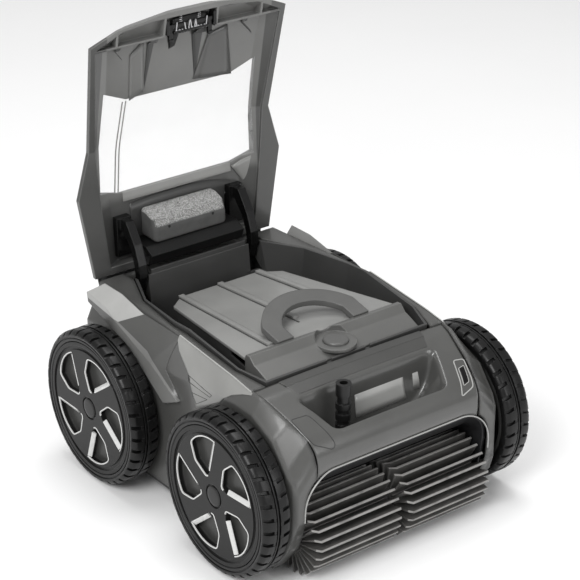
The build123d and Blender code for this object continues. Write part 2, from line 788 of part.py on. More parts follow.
# Cable gland: a ribbed tube that stands in the hand recess
gland_diameter = 19.0
gland_bore = 10.0
gland_height = 78.0
gland_rib = 2.0
gland_x = -55.0
gland_y = recess_rear - 25
with BuildPart() as cable_gland:
    with BuildSketch(Plane.XY.offset(recess_floor)):
        with Locations((gland_x, gland_y)):
            Circle(gland_diameter / 2 + 5)
    extrude(amount=8)
    with BuildSketch(Plane.XY.offset(recess_floor)):
        with Locations((gland_x, gland_y)):
            Circle(gland_diameter / 2 - gland_rib)
    extrude(amount=gland_height)
    for level in (16, 30, 44, 62):
        with BuildSketch(Plane.XY.offset(recess_floor + level)):
            with Locations((gland_x, gland_y)):
                Circle(gland_diameter / 2)
        extrude(amount=gland_height - 62 if level == 62 else 8)
    with BuildSketch(Plane.XY.offset(recess_floor + gland_height)):
        with Locations((gland_x, gland_y)):
            Circle(gland_bore / 2)
    extrude(amount=-(gland_height - 10), mode=Mode.SUBTRACT)
save(cable_gland.part, "cable_gland")

# Drive motors, pump motor and control box on the tray's floor
motors = []
for side, side_name in sides:
    with BuildPart() as drive_motor:
        with BuildSketch(Plane.YZ.offset(side * tray_x)):
            with Locations(pinion_centre):
                Circle(motor_diameter / 2)
        extrude(amount=-side * motor_length)
        with BuildSketch(Plane.YZ.offset(side * tray_x)):
            with Locations(pinion_centre):
                Circle(shaft_radius + running_gap)
        extrude(amount=-side * (motor_shaft_depth + 1), mode=Mode.SUBTRACT)
    motors.append(drive_motor.part)
save(Compound(children=motors), "drive_motors")

pump_rear = rear_y + 12
with BuildPart() as pump_motor:
    with BuildSketch(Plane.XZ.offset(-pump_rear)):
        with Locations((0, outlet_z)):
            Circle(pump_diameter / 2)
    extrude(amount=pump_length)
    with BuildSketch(Plane.XY.offset(tray_floor + wall)):
        with Locations((0, pump_rear - pump_length / 2)):
            Rectangle(pump_diameter * 0.7, pump_length)
    extrude(amount=outlet_z - tray_floor - wall)
    with BuildSketch(Plane.XZ.offset(-pump_rear)):
        with Locations((0, outlet_z)):
            Circle(shaft_radius + running_gap)
    extrude(amount=motor_shaft_depth + 1, mode=Mode.SUBTRACT)
save(pump_motor.part, "pump_motor")

propeller_y = rear_y + 40
with BuildPart(Plane(origin=(0, propeller_y, outlet_z), x_dir=(1, 0, 0), z_dir=(0, 1, 0))) as propeller:
    Cylinder(9, 18)
    with PolarLocations(propeller_diameter / 4 + 2, propeller_blades):
        Box(propeller_diameter / 2 - 4, 2.5, 20, rotation=(40, 0, 0))
    with BuildSketch(Plane.XZ.offset(-propeller_y)):
        with Locations((0, outlet_z)):
            Circle(shaft_radius)
    extrude(amount=propeller_y - pump_rear + motor_shaft_depth)
save(propeller.part, "propeller")

with BuildPart() as control_box:
    with BuildSketch(Plane.XY.offset(tray_floor + wall)):
        with Locations((0, chute_rear + box_chute_gap + box_length / 2)):
            RectangleRounded(2 * (tray_x - motor_length - box_gap), box_length, 8)
    extrude(amount=box_height)
save(control_box.part, "control_box")

with BuildPart() as outlet_grille:
    with BuildSketch(Plane.XZ.offset(-tray_rear)):
        with Locations((0, outlet_z)):
            Circle(outlet_radius)
            Circle(outlet_radius - 2, mode=Mode.SUBTRACT)
            Circle(8)
            with PolarLocations(0, 6):
                with Locations((outlet_radius / 2, 0)):
                    Rectangle(outlet_radius - 1, 2)
    extrude(amount=wall)
save(outlet_grille.part, "outlet_grille")

with BuildPart() as brush_bracket:
    with BuildSketch(Plane.YZ.offset(-bracket_thickness / 2)):
        with Locations(brush_centre):
            Circle(bracket_eye_diameter / 2)
        Polygon(
            (tray_front, tray_floor + 8), (brush_y, brush_z - bracket_eye_diameter / 2),
            (brush_y, brush_z + bracket_eye_diameter / 2), (tray_front, tray_floor + 62), align=None,
        )
        with Locations(brush_centre):
            Circle(brush_shaft_radius + running_gap, mode=Mode.SUBTRACT)
    extrude(amount=bracket_thickness)
save(brush_bracket.part, "brush_bracket")

screws = []
for x, y in [(i * (tray_x - screw_inset), j * screw_pitch) for i in (-1, 1) for j in (-1, 0, 1)]:
    with BuildPart() as screw:
        with BuildSketch(Plane.XY.offset(tray_floor)):
            with Locations((x, y)):
                Circle(screw_head / 2)
        extrude(amount=screw_head_height)
        with BuildSketch(Plane.XY.offset(tray_floor)):
            with Locations((x, y)):
                Circle(screw_diameter / 2)
        extrude(amount=screw_length)
    screws.append(screw.part)
save(Compound(children=screws), "chassis_screws")


# Lid, standing open: heights above the hinge, depths behind it
def lid_form(sections):
    """A skin ruled through plan sections, each (height, half width, front, depth)."""
    with BuildPart() as form:
        for height, half, front, depth in sections:
            shape = (
                (half, front), (half, front + 0.3 * depth), (0.83 * half, front + 0.9 * depth),
                (0.55 * half, front + depth),
            )
            mirrored = tuple((-x, y) for x, y in reversed(shape))
            with BuildSketch(Plane.XY.offset(hinge_z + height)):
                Polygon(*[(x, hinge_y + y) for x, y in shape + mirrored], align=None)
        loft(ruled=True)
    return form.part


lid_corner = lid_reach - lid_corner_back
lid_half = side_x - rim_inset
ledge_rise = lid_corner - 5
lid_outer = lid_form((
    (lid_edge_rise, lid_half, 21, lid_depth),
    (lid_widest, lid_half + 19, 23, lid_depth),
    (lid_waist, lid_half + 1, 23, lid_depth),
    (lid_corner, lid_half + 9, -5, lid_depth - 4),
    (lid_reach - lid_shoulder_back, lid_half - 30, -8, lid_depth - 7),
    (lid_reach, 40, -9, lid_depth - 10),
))
lid_hollow = lid_form((
    (lid_edge_rise + 10, lid_half - 24, 20, lid_recess + 1),
    (lid_widest, lid_half - 13, 22, lid_recess + 1),
    (lid_waist, lid_half - 9, 22, lid_recess + 1),
    (ledge_rise, lid_half + 1, -5.5, lid_recess - 2.5),
    (lid_reach - lid_shoulder_back - 4, lid_half - 36, -9, lid_recess - 5),
    (lid_reach - lip_wall, 60, -10.5, lid_recess - 5.5),
))


def window_form():
    """The lid's window opening seen from the front, right through the lid."""
    bottom = hinge_z + window_bottom
    top = bottom + window_height
    with BuildPart() as form:
        with BuildSketch(Plane.XZ.offset(-hinge_y - 60)):
            half = (
                (lid_half - 52, bottom - 5), (lid_half - 18, bottom + 4), (lid_half - 23, top + 4),
                (lid_half - 60, top - 12),
            )
            mirrored = tuple((-x, z) for x, z in reversed(half))
            Polygon(*half, *mirrored, align=None)
        extrude(amount=90)
    return form.part


# Ledge and upright ribs that box in the lip along the lid's free edge
with BuildPart() as lid_ribs:
    with BuildSketch(Plane.XY.offset(hinge_z + ledge_rise - wall)):
        with Locations((0, hinge_y)):
            Rectangle(2 * overall_width, 4 * lid_depth)
        with Locations((0, hinge_y - 2 * lid_depth)):
            Rectangle(latch_width, 4 * lid_depth + 4, mode=Mode.SUBTRACT)
    extrude(amount=wall)
    with BuildSketch(Plane.XY.offset(hinge_z + ledge_rise - wall)):
        for rib_x in (latch_width / 2 + 2, lid_half - 30):
            with Locations((rib_x, hinge_y), (-rib_x, hinge_y)):
                Rectangle(wall, 4 * lid_depth)
    extrude(amount=lid_reach - ledge_rise)
    add(lid_outer, mode=Mode.INTERSECT)

with BuildPart() as lid_frame:
    add(lid_outer)
    add(lid_hollow, mode=Mode.SUBTRACT)
    add(lid_ribs.part)
    add(window_form(), mode=Mode.SUBTRACT)
save(lid_frame.part, "lid_frame")

with BuildPart() as lid_window:
    add(lid_outer)
    add(lid_hollow, mode=Mode.SUBTRACT)
    add(window_form(), mode=Mode.INTERSECT)
save(lid_window.part, "lid_window")

# Gooseneck arms from the lid to the hinge pins
for side, side_name in sides:
    with BuildPart() as hinge_arm:
        with BuildSketch(Plane.YZ.offset(side * (hinge_arm_centre - hinge_arm_width / 2))):
            with Locations((hinge_y, hinge_z)):
                Circle(hinge_eye_diameter / 2)
                Polygon(
                    (-9, 0), (-15, 16), (-14, 34), (-4, 60), (14, 87), (30, 87), (30, 72), (23, 72),
                    (6, 53), (-3, 31), (-4, 16), (9, 0), align=None,
                )
                Circle(hinge_pin_diameter / 2 + running_gap, mode=Mode.SUBTRACT)
        extrude(amount=side * hinge_arm_width)
        with BuildSketch(Plane.XZ.offset(-hinge_y - 28)):
            with Locations((side * hinge_arm_centre, hinge_z + 61)):
                Rectangle(hinge_arm_width + 10, 54)
        extrude(amount=-11)
        add(lid_frame.part, mode=Mode.SUBTRACT)
    save(hinge_arm.part, f"{side_name}_hinge_arm")

# Float block near the hinge, on its shelf, held by two screws
float_half = hinge_arm_centre - float_arm_gap
with BuildPart() as float_tray:
    with BuildSketch(Plane.YZ.offset(-float_half - shelf_overhang)):
        with Locations((hinge_y, hinge_z)):
            Polygon(
                (40, 50), (3, 50), (-12, 42), (-7, 28), (-3, 29), (-7.5, 41), (4.5, 46), (40, 46),
                align=None,
            )
    extrude(amount=2 * (float_half + shelf_overhang))
    add(lid_frame.part, mode=Mode.SUBTRACT)
save(float_tray.part, "float_tray")

screw_seat = hinge_y + 10
float_screw_x = float_half - float_screw_inset
float_screw_places = ((-float_screw_x, hinge_z + 69), (float_screw_x, hinge_z + 69))
with BuildPart() as lid_float:
    with BuildSketch(Plane.YZ.offset(-float_half)):
        with Locations((hinge_y, hinge_z)):
            Polygon((40, 50), (4, 50), (4, 60), (10, 82), (32, 90), (40, 90), align=None)
    extrude(amount=2 * float_half)
    add(lid_frame.part, mode=Mode.SUBTRACT)
    with BuildSketch(Plane.XZ.offset(-hinge_y)):
        with Locations(*float_screw_places):
            Circle(screw_head / 2 + panel_gap)
    extrude(amount=-(screw_seat - hinge_y), mode=Mode.SUBTRACT)
    with BuildSketch(Plane.XZ.offset(-hinge_y)):
        with Locations(*float_screw_places):
            Circle(screw_diameter / 2)
    extrude(amount=-2 * lid_depth, mode=Mode.SUBTRACT)
save(lid_float.part, "lid_float")

float_screws = []
for x, z in float_screw_places:
    with BuildPart() as float_screw:
        with BuildSketch(Plane.XZ.offset(-screw_seat)):
            with Locations((x, z)):
                Circle(screw_head / 2)
        extrude(amount=wall)
        with BuildSketch(Plane.XZ.offset(-screw_seat)):
            with Locations((x, z)):
                Circle(screw_diameter / 2)
        extrude(amount=-(lid_depth + 7))
    float_screws.append(float_screw.part)
save(Compound(children=float_screws), "float_screws")

# Latch in the lip: a plate with two hooks that slides towards the edge against two springs
latch_low = hinge_z + ledge_rise
spring_top = hinge_z + lid_reach - lip_wall
plate_high = spring_top - latch_travel - spring_shut
plate_low = plate_high - plate_thickness
hook_low = latch_low - hook_length
with BuildPart() as latch_housing:
    with BuildSketch(Plane.XY.offset(latch_low)):
        with Locations((0, hinge_y)):
            Rectangle(latch_width, 12)
        with Locations((hook_x, hinge_y - 3), (-hook_x, hinge_y - 3)):
            Rectangle(hook_width + 2 * panel_gap, 8, mode=Mode.SUBTRACT)
    extrude(amount=wall)
    with BuildSketch(Plane.XY.offset(latch_low)):
        with Locations((latch_width / 2 - 2, hinge_y - 1), (2 - latch_width / 2, hinge_y - 1)):
            Rectangle(4, 12)
    extrude(amount=spring_top - latch_low - 4)
    add(lid_frame.part, mode=Mode.SUBTRACT)
save(latch_housing.part, "latch_housing")

plate_half = latch_width / 2 - 4 - panel_gap
with BuildPart() as lid_latch:
    with BuildSketch(Plane.XY.offset(plate_low)):
        with Locations((0, hinge_y - 2)):
            Rectangle(2 * plate_half, 6)
    extrude(amount=plate_high - plate_low)
    for side, side_name in sides:
        with BuildSketch(Plane.XY.offset(hook_low)):
            with Locations((side * hook_x, hinge_y - 2)):
                Rectangle(hook_width, 4)
        extrude(amount=plate_low - hook_low)
        with BuildSketch(Plane.XY.offset(hook_low)):
            with Locations((side * hook_x, hinge_y - 2.5)):
                Rectangle(hook_width, 5)
        extrude(amount=hook_tip)
save(lid_latch.part, "lid_latch")


def coil(x, low, high):
    """A spring: one wire swept on quarter-turn arcs that climb from low to high."""
    turn_rise = (high - low) / spring_turns
    radius = spring_diameter / 2
    with BuildPart() as spring:
        with BuildLine() as route:
            for quarter in range(4 * spring_turns):
                points = []
                for step in (0, 0.5, 1):
                    angle = math.pi / 2 * (quarter + step)
                    across, along = radius * math.cos(angle), radius * math.sin(angle)
                    points.append((x + across, hinge_y - 2 + along, low + turn_rise * (quarter + step) / 4))
                ThreePointArc(*points)
        with BuildSketch(Plane(origin=route.line @ 0, z_dir=route.line % 0)):
            Circle(spring_wire / 2)
        sweep(path=route.line)
    return spring.part


spring_gap = spring_wire / 2 + running_gap
spring_ends = (plate_high + spring_gap, spring_top - 2 * spring_gap)
springs = [coil(side * spring_x, *spring_ends) for side, side_name in sides]
print("least gap in a spring", round((spring_top - plate_high) / spring_turns - spring_wire, 2), "mm")
save(Compound(children=springs), "latch_springs")

# Filter: a tapered tub with mesh windows, a ribbed cover, a lifting handle and a release button
cover_plane = Plane(
    origin=(0, cover_front, cover_z), x_dir=(1, 0, 0),
    z_dir=(0, math.sin(math.radians(cover_tilt)), math.cos(math.radians(cover_tilt))),
)
bar_front = front_y + 13
bar_low = cover_z - 20
button_y = front_y + 31
tongue_top = cover_z - 3
tongue_low = rim_front_z + 3.5
with BuildPart() as filter_cover:
    with BuildSketch(cover_plane):
        Polygon(
            (cover_half, -4), (cover_half - 31, cover_length - 21), (cover_half - 57, cover_length),
            (57 - cover_half, cover_length), (31 - cover_half, cover_length - 21), (-cover_half, -4),
            align=None,
        )
    extrude(amount=-cover_thickness)
    with BuildSketch(cover_plane):
        for front_x, rear_x, start in ((-74, -62, 4), (0, 0, 50), (74, 62, 4)):
            Polygon(
                (front_x - rib_width / 2, start), (front_x + rib_width / 2, start),
                (rear_x + rib_width / 2, cover_length), (rear_x - rib_width / 2, cover_length), align=None,
            )
    extrude(amount=rib_height)
    with BuildSketch(Plane.YZ.offset(-cover_half)):
        Polygon(
            (cover_front - 4, bar_low), (cover_front - 4, cover_z + 1), (cover_front - 6, cover_z + 5),
            (cover_front - 13, cover_z + 6), (cover_front - 22, cover_z - 3), (cover_front - 28, cover_z - 5),
            (bar_front, cover_z - 13), (bar_front, bar_low), align=None,
        )
    extrude(amount=2 * cover_half)
    with BuildSketch(Plane.XY.offset(tongue_low)):
        with Locations((0, button_y)):
            Circle(button_diameter / 2 + tongue_margin)
    extrude(amount=tongue_top - tongue_low)
    with BuildSketch(Plane.XY.offset(tongue_top)):
        with Locations((0, button_y)):
            Circle(button_diameter / 2 + tongue_margin)
    extrude(amount=cover_z, mode=Mode.SUBTRACT)
    with BuildSketch(Plane.XY.offset(tongue_top)):
        with Locations((0, button_y)):
            Circle(button_diameter / 2 + panel_gap)
    extrude(amount=-(button_depth + button_travel), mode=Mode.SUBTRACT)
save(filter_cover.part, "filter_cover")

with BuildPart() as filter_button:
    with BuildSketch(Plane.XY.offset(tongue_top - button_depth + 1)):
        with Locations((0, button_y)):
            Circle(button_diameter / 2)
    extrude(amount=button_depth + button_travel - 1)
    fillet(filter_button.edges().group_by(Axis.Z)[-1], 2)
save(filter_button.part, "filter_button")

handle_plane = Plane(
    origin=(0, cover_front - 4, cover_z + handle_thickness / 2), x_dir=(1, 0, 0),
    z_dir=(0, -math.sin(math.radians(handle_tilt)), math.cos(math.radians(handle_tilt))),
)
with BuildPart() as filter_handle:
    with BuildSketch(handle_plane.offset(-handle_thickness / 2)):
        for inset, fill in ((0, Mode.ADD), (handle_band, Mode.SUBTRACT)):
            half, end = handle_half - inset, handle_length - inset
            with BuildLine():
                Polyline((-half, 0.4 * end), (-half, -2), (half, -2), (half, 0.4 * end))
                ThreePointArc((half, 0.4 * end), (0, end), (-half, 0.4 * end))
            make_face(mode=fill)
    extrude(amount=handle_thickness)
    add(filter_cover.part, mode=Mode.SUBTRACT)
save(filter_handle.part, "filter_handle")


def tub_form(inset):
    """The tub's outer form, drawn in by inset."""
    low = (
        (cover_half - 61, cover_length - 85), (cover_half - 39, cover_length - 99),
        (cover_half - 13, cover_front - 5), (cover_half - 19, front_y + 32),
    )
    high = (
        (cover_half - 59, cover_length - 78), (cover_half - 34, cover_length - 98),
        (cover_half - 5, cover_front - 5), (cover_half - 11, front_y + 24),
    )
    with BuildPart() as form:
        for height, half in ((bay_floor + panel_gap + inset, low), (cover_z + 10, high)):
            (x0, y0), (x1, y1), (x2, y2), (x3, y3) = half
            drawn = ((x0 - inset, y0 - inset), (x1 - inset, y1), (x2 - inset, y2), (x3 - inset, y3 + inset))
            with BuildSketch(Plane.XY.offset(height)):
                Polygon(*drawn, *[(-x, y) for x, y in reversed(drawn)], align=None)
        loft(ruled=True)
    return form.part


with BuildPart() as mesh_window:
    with BuildSketch(Plane.YZ.offset(-side_x)):
        with Locations((window_middle, (bay_floor + cover_z) / 2 - 8)):
            Rectangle(mesh_length, mesh_height)
    extrude(amount=2 * side_x)

with BuildPart() as filter_tub:
    add(tub_form(0))
    add(tub_form(filter_wall), mode=Mode.SUBTRACT)
    add(mesh_window.part, mode=Mode.SUBTRACT)
    with BuildSketch(cover_plane.offset(-cover_thickness)):
        Rectangle(2 * overall_width, 2 * overall_width)
    extrude(amount=overall_width, mode=Mode.SUBTRACT)
    with BuildSketch(Plane.XY.offset(bay_floor)):
        with Locations((0, intake_y)):
            Rectangle(intake_width - 10, intake_length - 6)
    extrude(amount=2 * filter_wall, mode=Mode.SUBTRACT)
    with BuildSketch(Plane.XY.offset(bar_low)):
        with Locations((0, cover_front)):
            Rectangle(2 * cover_half, cover_front - bar_front + 40)
    extrude(amount=cover_z, mode=Mode.SUBTRACT)
save(filter_tub.part, "filter_tub")

with BuildPart() as filter_mesh:
    add(tub_form((filter_wall - mesh_thickness) / 2))
    add(tub_form((filter_wall + mesh_thickness) / 2), mode=Mode.SUBTRACT)
    add(mesh_window.part, mode=Mode.INTERSECT)
save(filter_mesh.part, "filter_mesh")
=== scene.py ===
"""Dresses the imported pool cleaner: tyres, brushes, bumper skin, foam, trims and finishes."""

import json
import math

import bmesh
import bpy
import numpy as np
from bpy.props import FloatProperty, FloatVectorProperty, IntProperty, PointerProperty
from bpy.types import Operator, Panel, PropertyGroup
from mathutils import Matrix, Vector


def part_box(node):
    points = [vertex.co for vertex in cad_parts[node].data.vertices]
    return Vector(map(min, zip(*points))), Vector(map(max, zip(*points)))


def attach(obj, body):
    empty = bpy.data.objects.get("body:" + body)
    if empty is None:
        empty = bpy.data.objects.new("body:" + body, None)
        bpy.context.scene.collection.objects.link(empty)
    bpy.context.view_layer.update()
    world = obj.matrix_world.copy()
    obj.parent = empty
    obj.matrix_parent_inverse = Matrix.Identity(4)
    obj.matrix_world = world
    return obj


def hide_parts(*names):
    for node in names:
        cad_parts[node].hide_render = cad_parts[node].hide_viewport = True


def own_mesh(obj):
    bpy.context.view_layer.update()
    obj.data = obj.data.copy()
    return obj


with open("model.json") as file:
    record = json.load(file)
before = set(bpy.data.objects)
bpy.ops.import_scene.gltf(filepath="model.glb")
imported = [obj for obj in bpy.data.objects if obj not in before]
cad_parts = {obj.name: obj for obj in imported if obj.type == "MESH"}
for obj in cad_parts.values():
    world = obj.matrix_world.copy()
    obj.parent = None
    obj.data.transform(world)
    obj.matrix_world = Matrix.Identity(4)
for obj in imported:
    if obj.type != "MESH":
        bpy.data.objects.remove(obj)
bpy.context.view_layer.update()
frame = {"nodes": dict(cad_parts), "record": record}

bl_info = {
    "name": "Pool Cleaner",
    "version": (1, 0, 0),
    "blender": (4, 5, 0),
    "location": "View3D > Sidebar > Cleaner",
    "description": "Builds the looks of a four-wheel pool cleaner round its packed solids",
    "category": "Object",
}

MM = 0.001
SIDES = (("left", -1), ("right", 1))


def node_box(node):
    """Lowest and highest corner of a solid, in millimetres."""
    low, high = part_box(node)
    return np.array(low) / MM, np.array(high) / MM


# Places read from the solids, in millimetres.
TYRE_LOW, TYRE_HIGH = node_box("front_right_tyre")
TYRE_INNER = TYRE_LOW[0]
TYRE_WIDTH = TYRE_HIGH[0] - TYRE_LOW[0]
AXLE_HEIGHT = (TYRE_HIGH[2] + TYRE_LOW[2]) / 2
AXLE_Y = abs(TYRE_HIGH[1] + TYRE_LOW[1]) / 2
RIM_FACE = node_box("front_right_rim")[1][0] - TYRE_INNER
BRUSH_LOW, BRUSH_HIGH = node_box("right_brush")
BRUSH_Y = (BRUSH_LOW[1] + BRUSH_HIGH[1]) / 2
BRUSH_Z = (BRUSH_LOW[2] + BRUSH_HIGH[2]) / 2
BRUSH_RADIUS = (BRUSH_HIGH[2] - BRUSH_LOW[2]) / 2
FLOAT_LOW, FLOAT_HIGH = node_box("lid_float")
SPRING_LOW, SPRING_HIGH = node_box("latch_springs")


def count(label, words, number, least):
    """A whole number of the sizes."""
    return IntProperty(name=label, description=words, default=number, min=least)


def length(label, words, size):
    """A length of the sizes, given in millimetres."""
    return FloatProperty(name=label, description=words, default=size * MM, unit="LENGTH")


def colour(label, words, shade):
    """A colour of a finish."""
    return FloatVectorProperty(name=label, description=words, default=shade, subtype="COLOR", min=0, max=1)


class CleanerSizes(PropertyGroup):
    """Sizes of the dressed pieces."""

    tread_pitches: count("Tread pitches", "Repeats of the tread round a tyre", 38, 12)
    tread_depth: length("Tread depth", "Depth of the tread's slots", 4.0)
    trim_width: length("Trim width", "Width of the thin bright line round a rim pocket", 1.6)
    blade_count: count("Brush blades", "Blades round a brush roller", 24, 6)
    blade_bend: FloatProperty(name="Blade bend", description="Turn of a blade's folded end about the roller",
                              default=math.radians(6), subtype="ANGLE")
    edge_radius: length("Edge radius", "Radius that the shading gives to moulded edges", 1.3)
    shell_radius: length("Shell radius", "Radius that the shading gives to the body's broad bends", 8.0)
    seam_width: length("Seam width", "Width of a scribed line", 0.9)


class CleanerColours(PropertyGroup):
    """Colours of the finishes."""

    shell: colour("Shell", "Moulded body shell", (0.072, 0.072, 0.069))
    # Painted highlights: the fender caps' top and lower band are the shell's plastic made lighter where light falls
    # on them.
    fender: colour("Fender", "Light tops of the rear fender caps", (0.37, 0.37, 0.36))
    strip: colour("Fender strip", "Lower bands of the rear fender caps", (0.17, 0.17, 0.165))
    # Painted highlight: the side panels are the shell's plastic made lighter, standing in for light on the body's
    # sides.
    panel: colour("Side panel", "Light panels on the body's sides", (0.26, 0.26, 0.25))
    bumper: colour("Bumper", "Front bumper", (0.072, 0.072, 0.069))
    bay: colour("Bay", "Liner of the filter bay", (0.045, 0.045, 0.044))
    tray: colour("Tray", "Base tray and tunnel", (0.014, 0.014, 0.015))
    lid: colour("Lid", "Inner face of the lid frame", (0.155, 0.155, 0.150))
    # Painted shade: the stiles and the foot are the lid's plastic painted darker where they turn from the light.
    stile_shade: colour("Lid stiles", "Side stiles and foot of the lid frame", (0.068, 0.068, 0.066))
    hinge: colour("Hinge", "Glossy black hinge arms", (0.003, 0.003, 0.003))
    # Painted shade: the shelf is painted near black for the shade that falls under the float.
    shelf: colour("Shelf", "Float shelf", (0.008, 0.008, 0.008))
    foam: colour("Foam", "Float block", (0.24, 0.24, 0.235))
    cover: colour("Cover", "Filter cover", (0.245, 0.245, 0.238))
    bar: colour("Bar", "Front bar and tongue of the filter cover", (0.105, 0.105, 0.101))
    handle: colour("Handle", "Filter handle and button", (0.092, 0.092, 0.089))
    rubber: colour("Rubber", "Tyres and gland", (0.006, 0.006, 0.006))
    brush: colour("Brush", "Brush blades", (0.095, 0.092, 0.088))
    # Painted highlight: the blade tips' pale shade stands in for light caught along them, not wear.
    tip_highlight: colour("Blade tips", "Worn tips of the brush blades", (0.26, 0.255, 0.245))
    rim: colour("Rim", "Wheel rims", (0.010, 0.010, 0.0098))
    pocket: colour("Pocket", "Floors of the rim pockets", (0.050, 0.050, 0.048))
    trim: colour("Trim", "Bright trim of the wheels", (0.64, 0.64, 0.63))
    gear: colour("Gear", "Gears and bushes", (0.62, 0.60, 0.54))


class Value:
    """A number that changes over a surface: a shader socket that takes part in sums."""

    def __init__(self, finish, socket):
        self.finish, self.socket = finish, socket

    def join(self, operation, first, second):
        """A sum of two numbers, made by a Math node."""
        return self.finish.value("ShaderNodeMath", {"operation": operation}, {0: first, 1: second})

    def __add__(self, other):
        return self.join("ADD", self, other)

    __radd__ = __add__

    def __sub__(self, other):
        return self.join("SUBTRACT", self, other)

    def __rsub__(self, other):
        return self.join("SUBTRACT", other, self)

    def __mul__(self, other):
        return self.join("MULTIPLY", self, other)

    __rmul__ = __mul__

    def __pow__(self, other):
        return self.join("POWER", self, other)

    def step(self, low, high):
        """0 below low, 1 above high and a smooth rise between."""
        return self.finish.value("ShaderNodeMapRange", {"interpolation_type": "SMOOTHSTEP"},
                                 {"Value": self, "From Min": low, "From Max": high})

    def rise(self, low, high):
        """The same step between two places in millimetres."""
        return self.step(low * MM, high * MM)


def distance(first, second):
    """Root of the sum of two squares."""
    return (first ** 2.0 + second ** 2.0) ** 0.5


def solid_colour(shade, strength=1.0):
    """A colour with its alpha, scaled in brightness."""
    return (*(min(1.0, strength * part) for part in shade), 1.0)


def scaled(shade, strength, lift=0.0):
    """A shade scaled in brightness and lifted by the same amount in each part."""
    return [lift + strength * part for part in shade]


# Sockets of a Mix node that mixes colours.
MIX_SHARE, MIX_FIRST, MIX_SECOND, MIX_COLOUR = 0, 6, 7, 2
# Rays that round an edge, and 1 - the cosine of its normal's turn where the edge's mask begins and where it is full.
EDGE_RAYS = 6
EDGE_TURN = (0.02, 0.3)
FINISHES = {}


class Finish:
    """A material and the nodes that make it, kept under its name."""

    def __init__(self, name, **constants):
        FINISHES[name] = self
        self.material = bpy.data.materials.new(name)
        self.material.use_nodes = True
        self.nodes = self.material.node_tree.nodes
        self.links = self.material.node_tree.links
        self.nodes.clear()
        self.surface = self.node("ShaderNodeBsdfPrincipled", {}, constants)
        self.node("ShaderNodeOutputMaterial", {}, {"Surface": self.surface.outputs[0]})
        self.place = self.node("ShaderNodeTexCoord").outputs["Object"]

    def node(self, kind, settings=None, inputs=None):
        """Adds a node: its settings first, then the values or links of its sockets."""
        made = self.nodes.new(kind)
        for name, setting in (settings or {}).items():
            setattr(made, name, setting)
        for name, given in (inputs or {}).items():
            self.feed(made.inputs[name], given)
        return made

    def feed(self, socket, given):
        """Links a socket to a value or another socket, or sets it to a number or colour."""
        source = given.socket if isinstance(given, Value) else given
        if isinstance(source, bpy.types.NodeSocket):
            self.links.new(source, socket)
        else:
            socket.default_value = source

    def value(self, kind, settings, inputs, output=0):
        """A node's output as a number that takes part in sums."""
        return Value(self, self.node(kind, settings, inputs).outputs[output])

    def noise(self, scale, detail=2.0, stretch=(1, 1, 1)):
        """Smooth mottling between 0 and 1, with scale lumps to the metre."""
        where = self.node("ShaderNodeMapping", {}, {"Vector": self.place, "Scale": stretch}).outputs[0]
        return self.value("ShaderNodeTexNoise", {}, {"Vector": where, "Scale": scale, "Detail": detail})

    def mix(self, share, first, second):
        """A colour between two others."""
        inputs = {MIX_SHARE: share, MIX_FIRST: first, MIX_SECOND: second}
        return self.node("ShaderNodeMix", {"data_type": "RGBA"}, inputs).outputs[MIX_COLOUR]

    def shaded(self, share, shade, low, high):
        """A colour between two strengths of one shade."""
        return self.mix(share, solid_colour(shade, low), solid_colour(shade, high))

    def axis(self, index):
        """One coordinate of the surface, in metres."""
        return self.value("ShaderNodeSeparateXYZ", {}, {0: self.place}, index)

    def upward(self):
        """How far the unrounded surface faces up, from -1 to 1."""
        facing = self.node("ShaderNodeTexCoord").outputs["Normal"]
        return self.value("ShaderNodeSeparateXYZ", {}, {0: facing}, 2)

    def size_of(self, number):
        """A number without its sign."""
        return self.value("ShaderNodeMath", {"operation": "ABSOLUTE"}, {0: number})

    def rounding(self, radius):
        """Normal of the surface with its edges rounded, and a mask that is 1 on those edges."""
        soft = self.node("ShaderNodeBevel", {"samples": EDGE_RAYS}, {"Radius": radius}).outputs[0]
        flat = self.node("ShaderNodeNewGeometry").outputs["Normal"]
        near = self.value("ShaderNodeVectorMath", {"operation": "DOT_PRODUCT"}, {0: soft, 1: flat}, "Value")
        return soft, (1 - near).step(*EDGE_TURN)

    def bump(self, height, rise, normal=None):
        """Normal of a surface that a height lifts by up to a rise in millimetres."""
        inputs = {"Height": height, "Distance": rise * MM, "Strength": 1.0}
        if normal is not None:
            inputs["Normal"] = normal
        return self.node("ShaderNodeBump", {}, inputs).outputs[0]

    def set(self, **inputs):
        """Feeds the surface's own sockets; an underscore stands for a space."""
        for name, given in inputs.items():
            self.feed(self.surface.inputs[name.replace("_", " ")], given)


# Moulded plastic: clouds and grains to the metre, height of a grain, strengths of the clouds and where they change,
# roughness of its coat, and the strength and lift of the painted highlight on its edges.
PLASTIC_CLOUDS, PLASTIC_GRAINS, GRAIN_HEIGHT = 16, 1400, 0.04
PLASTIC_SHADES, PLASTIC_CHANGE = (0.93, 1.07), (0.3, 0.7)
PLASTIC_COAT = 0.08
PLASTIC_EDGE_HIGHLIGHT = (1.3, 0.04)


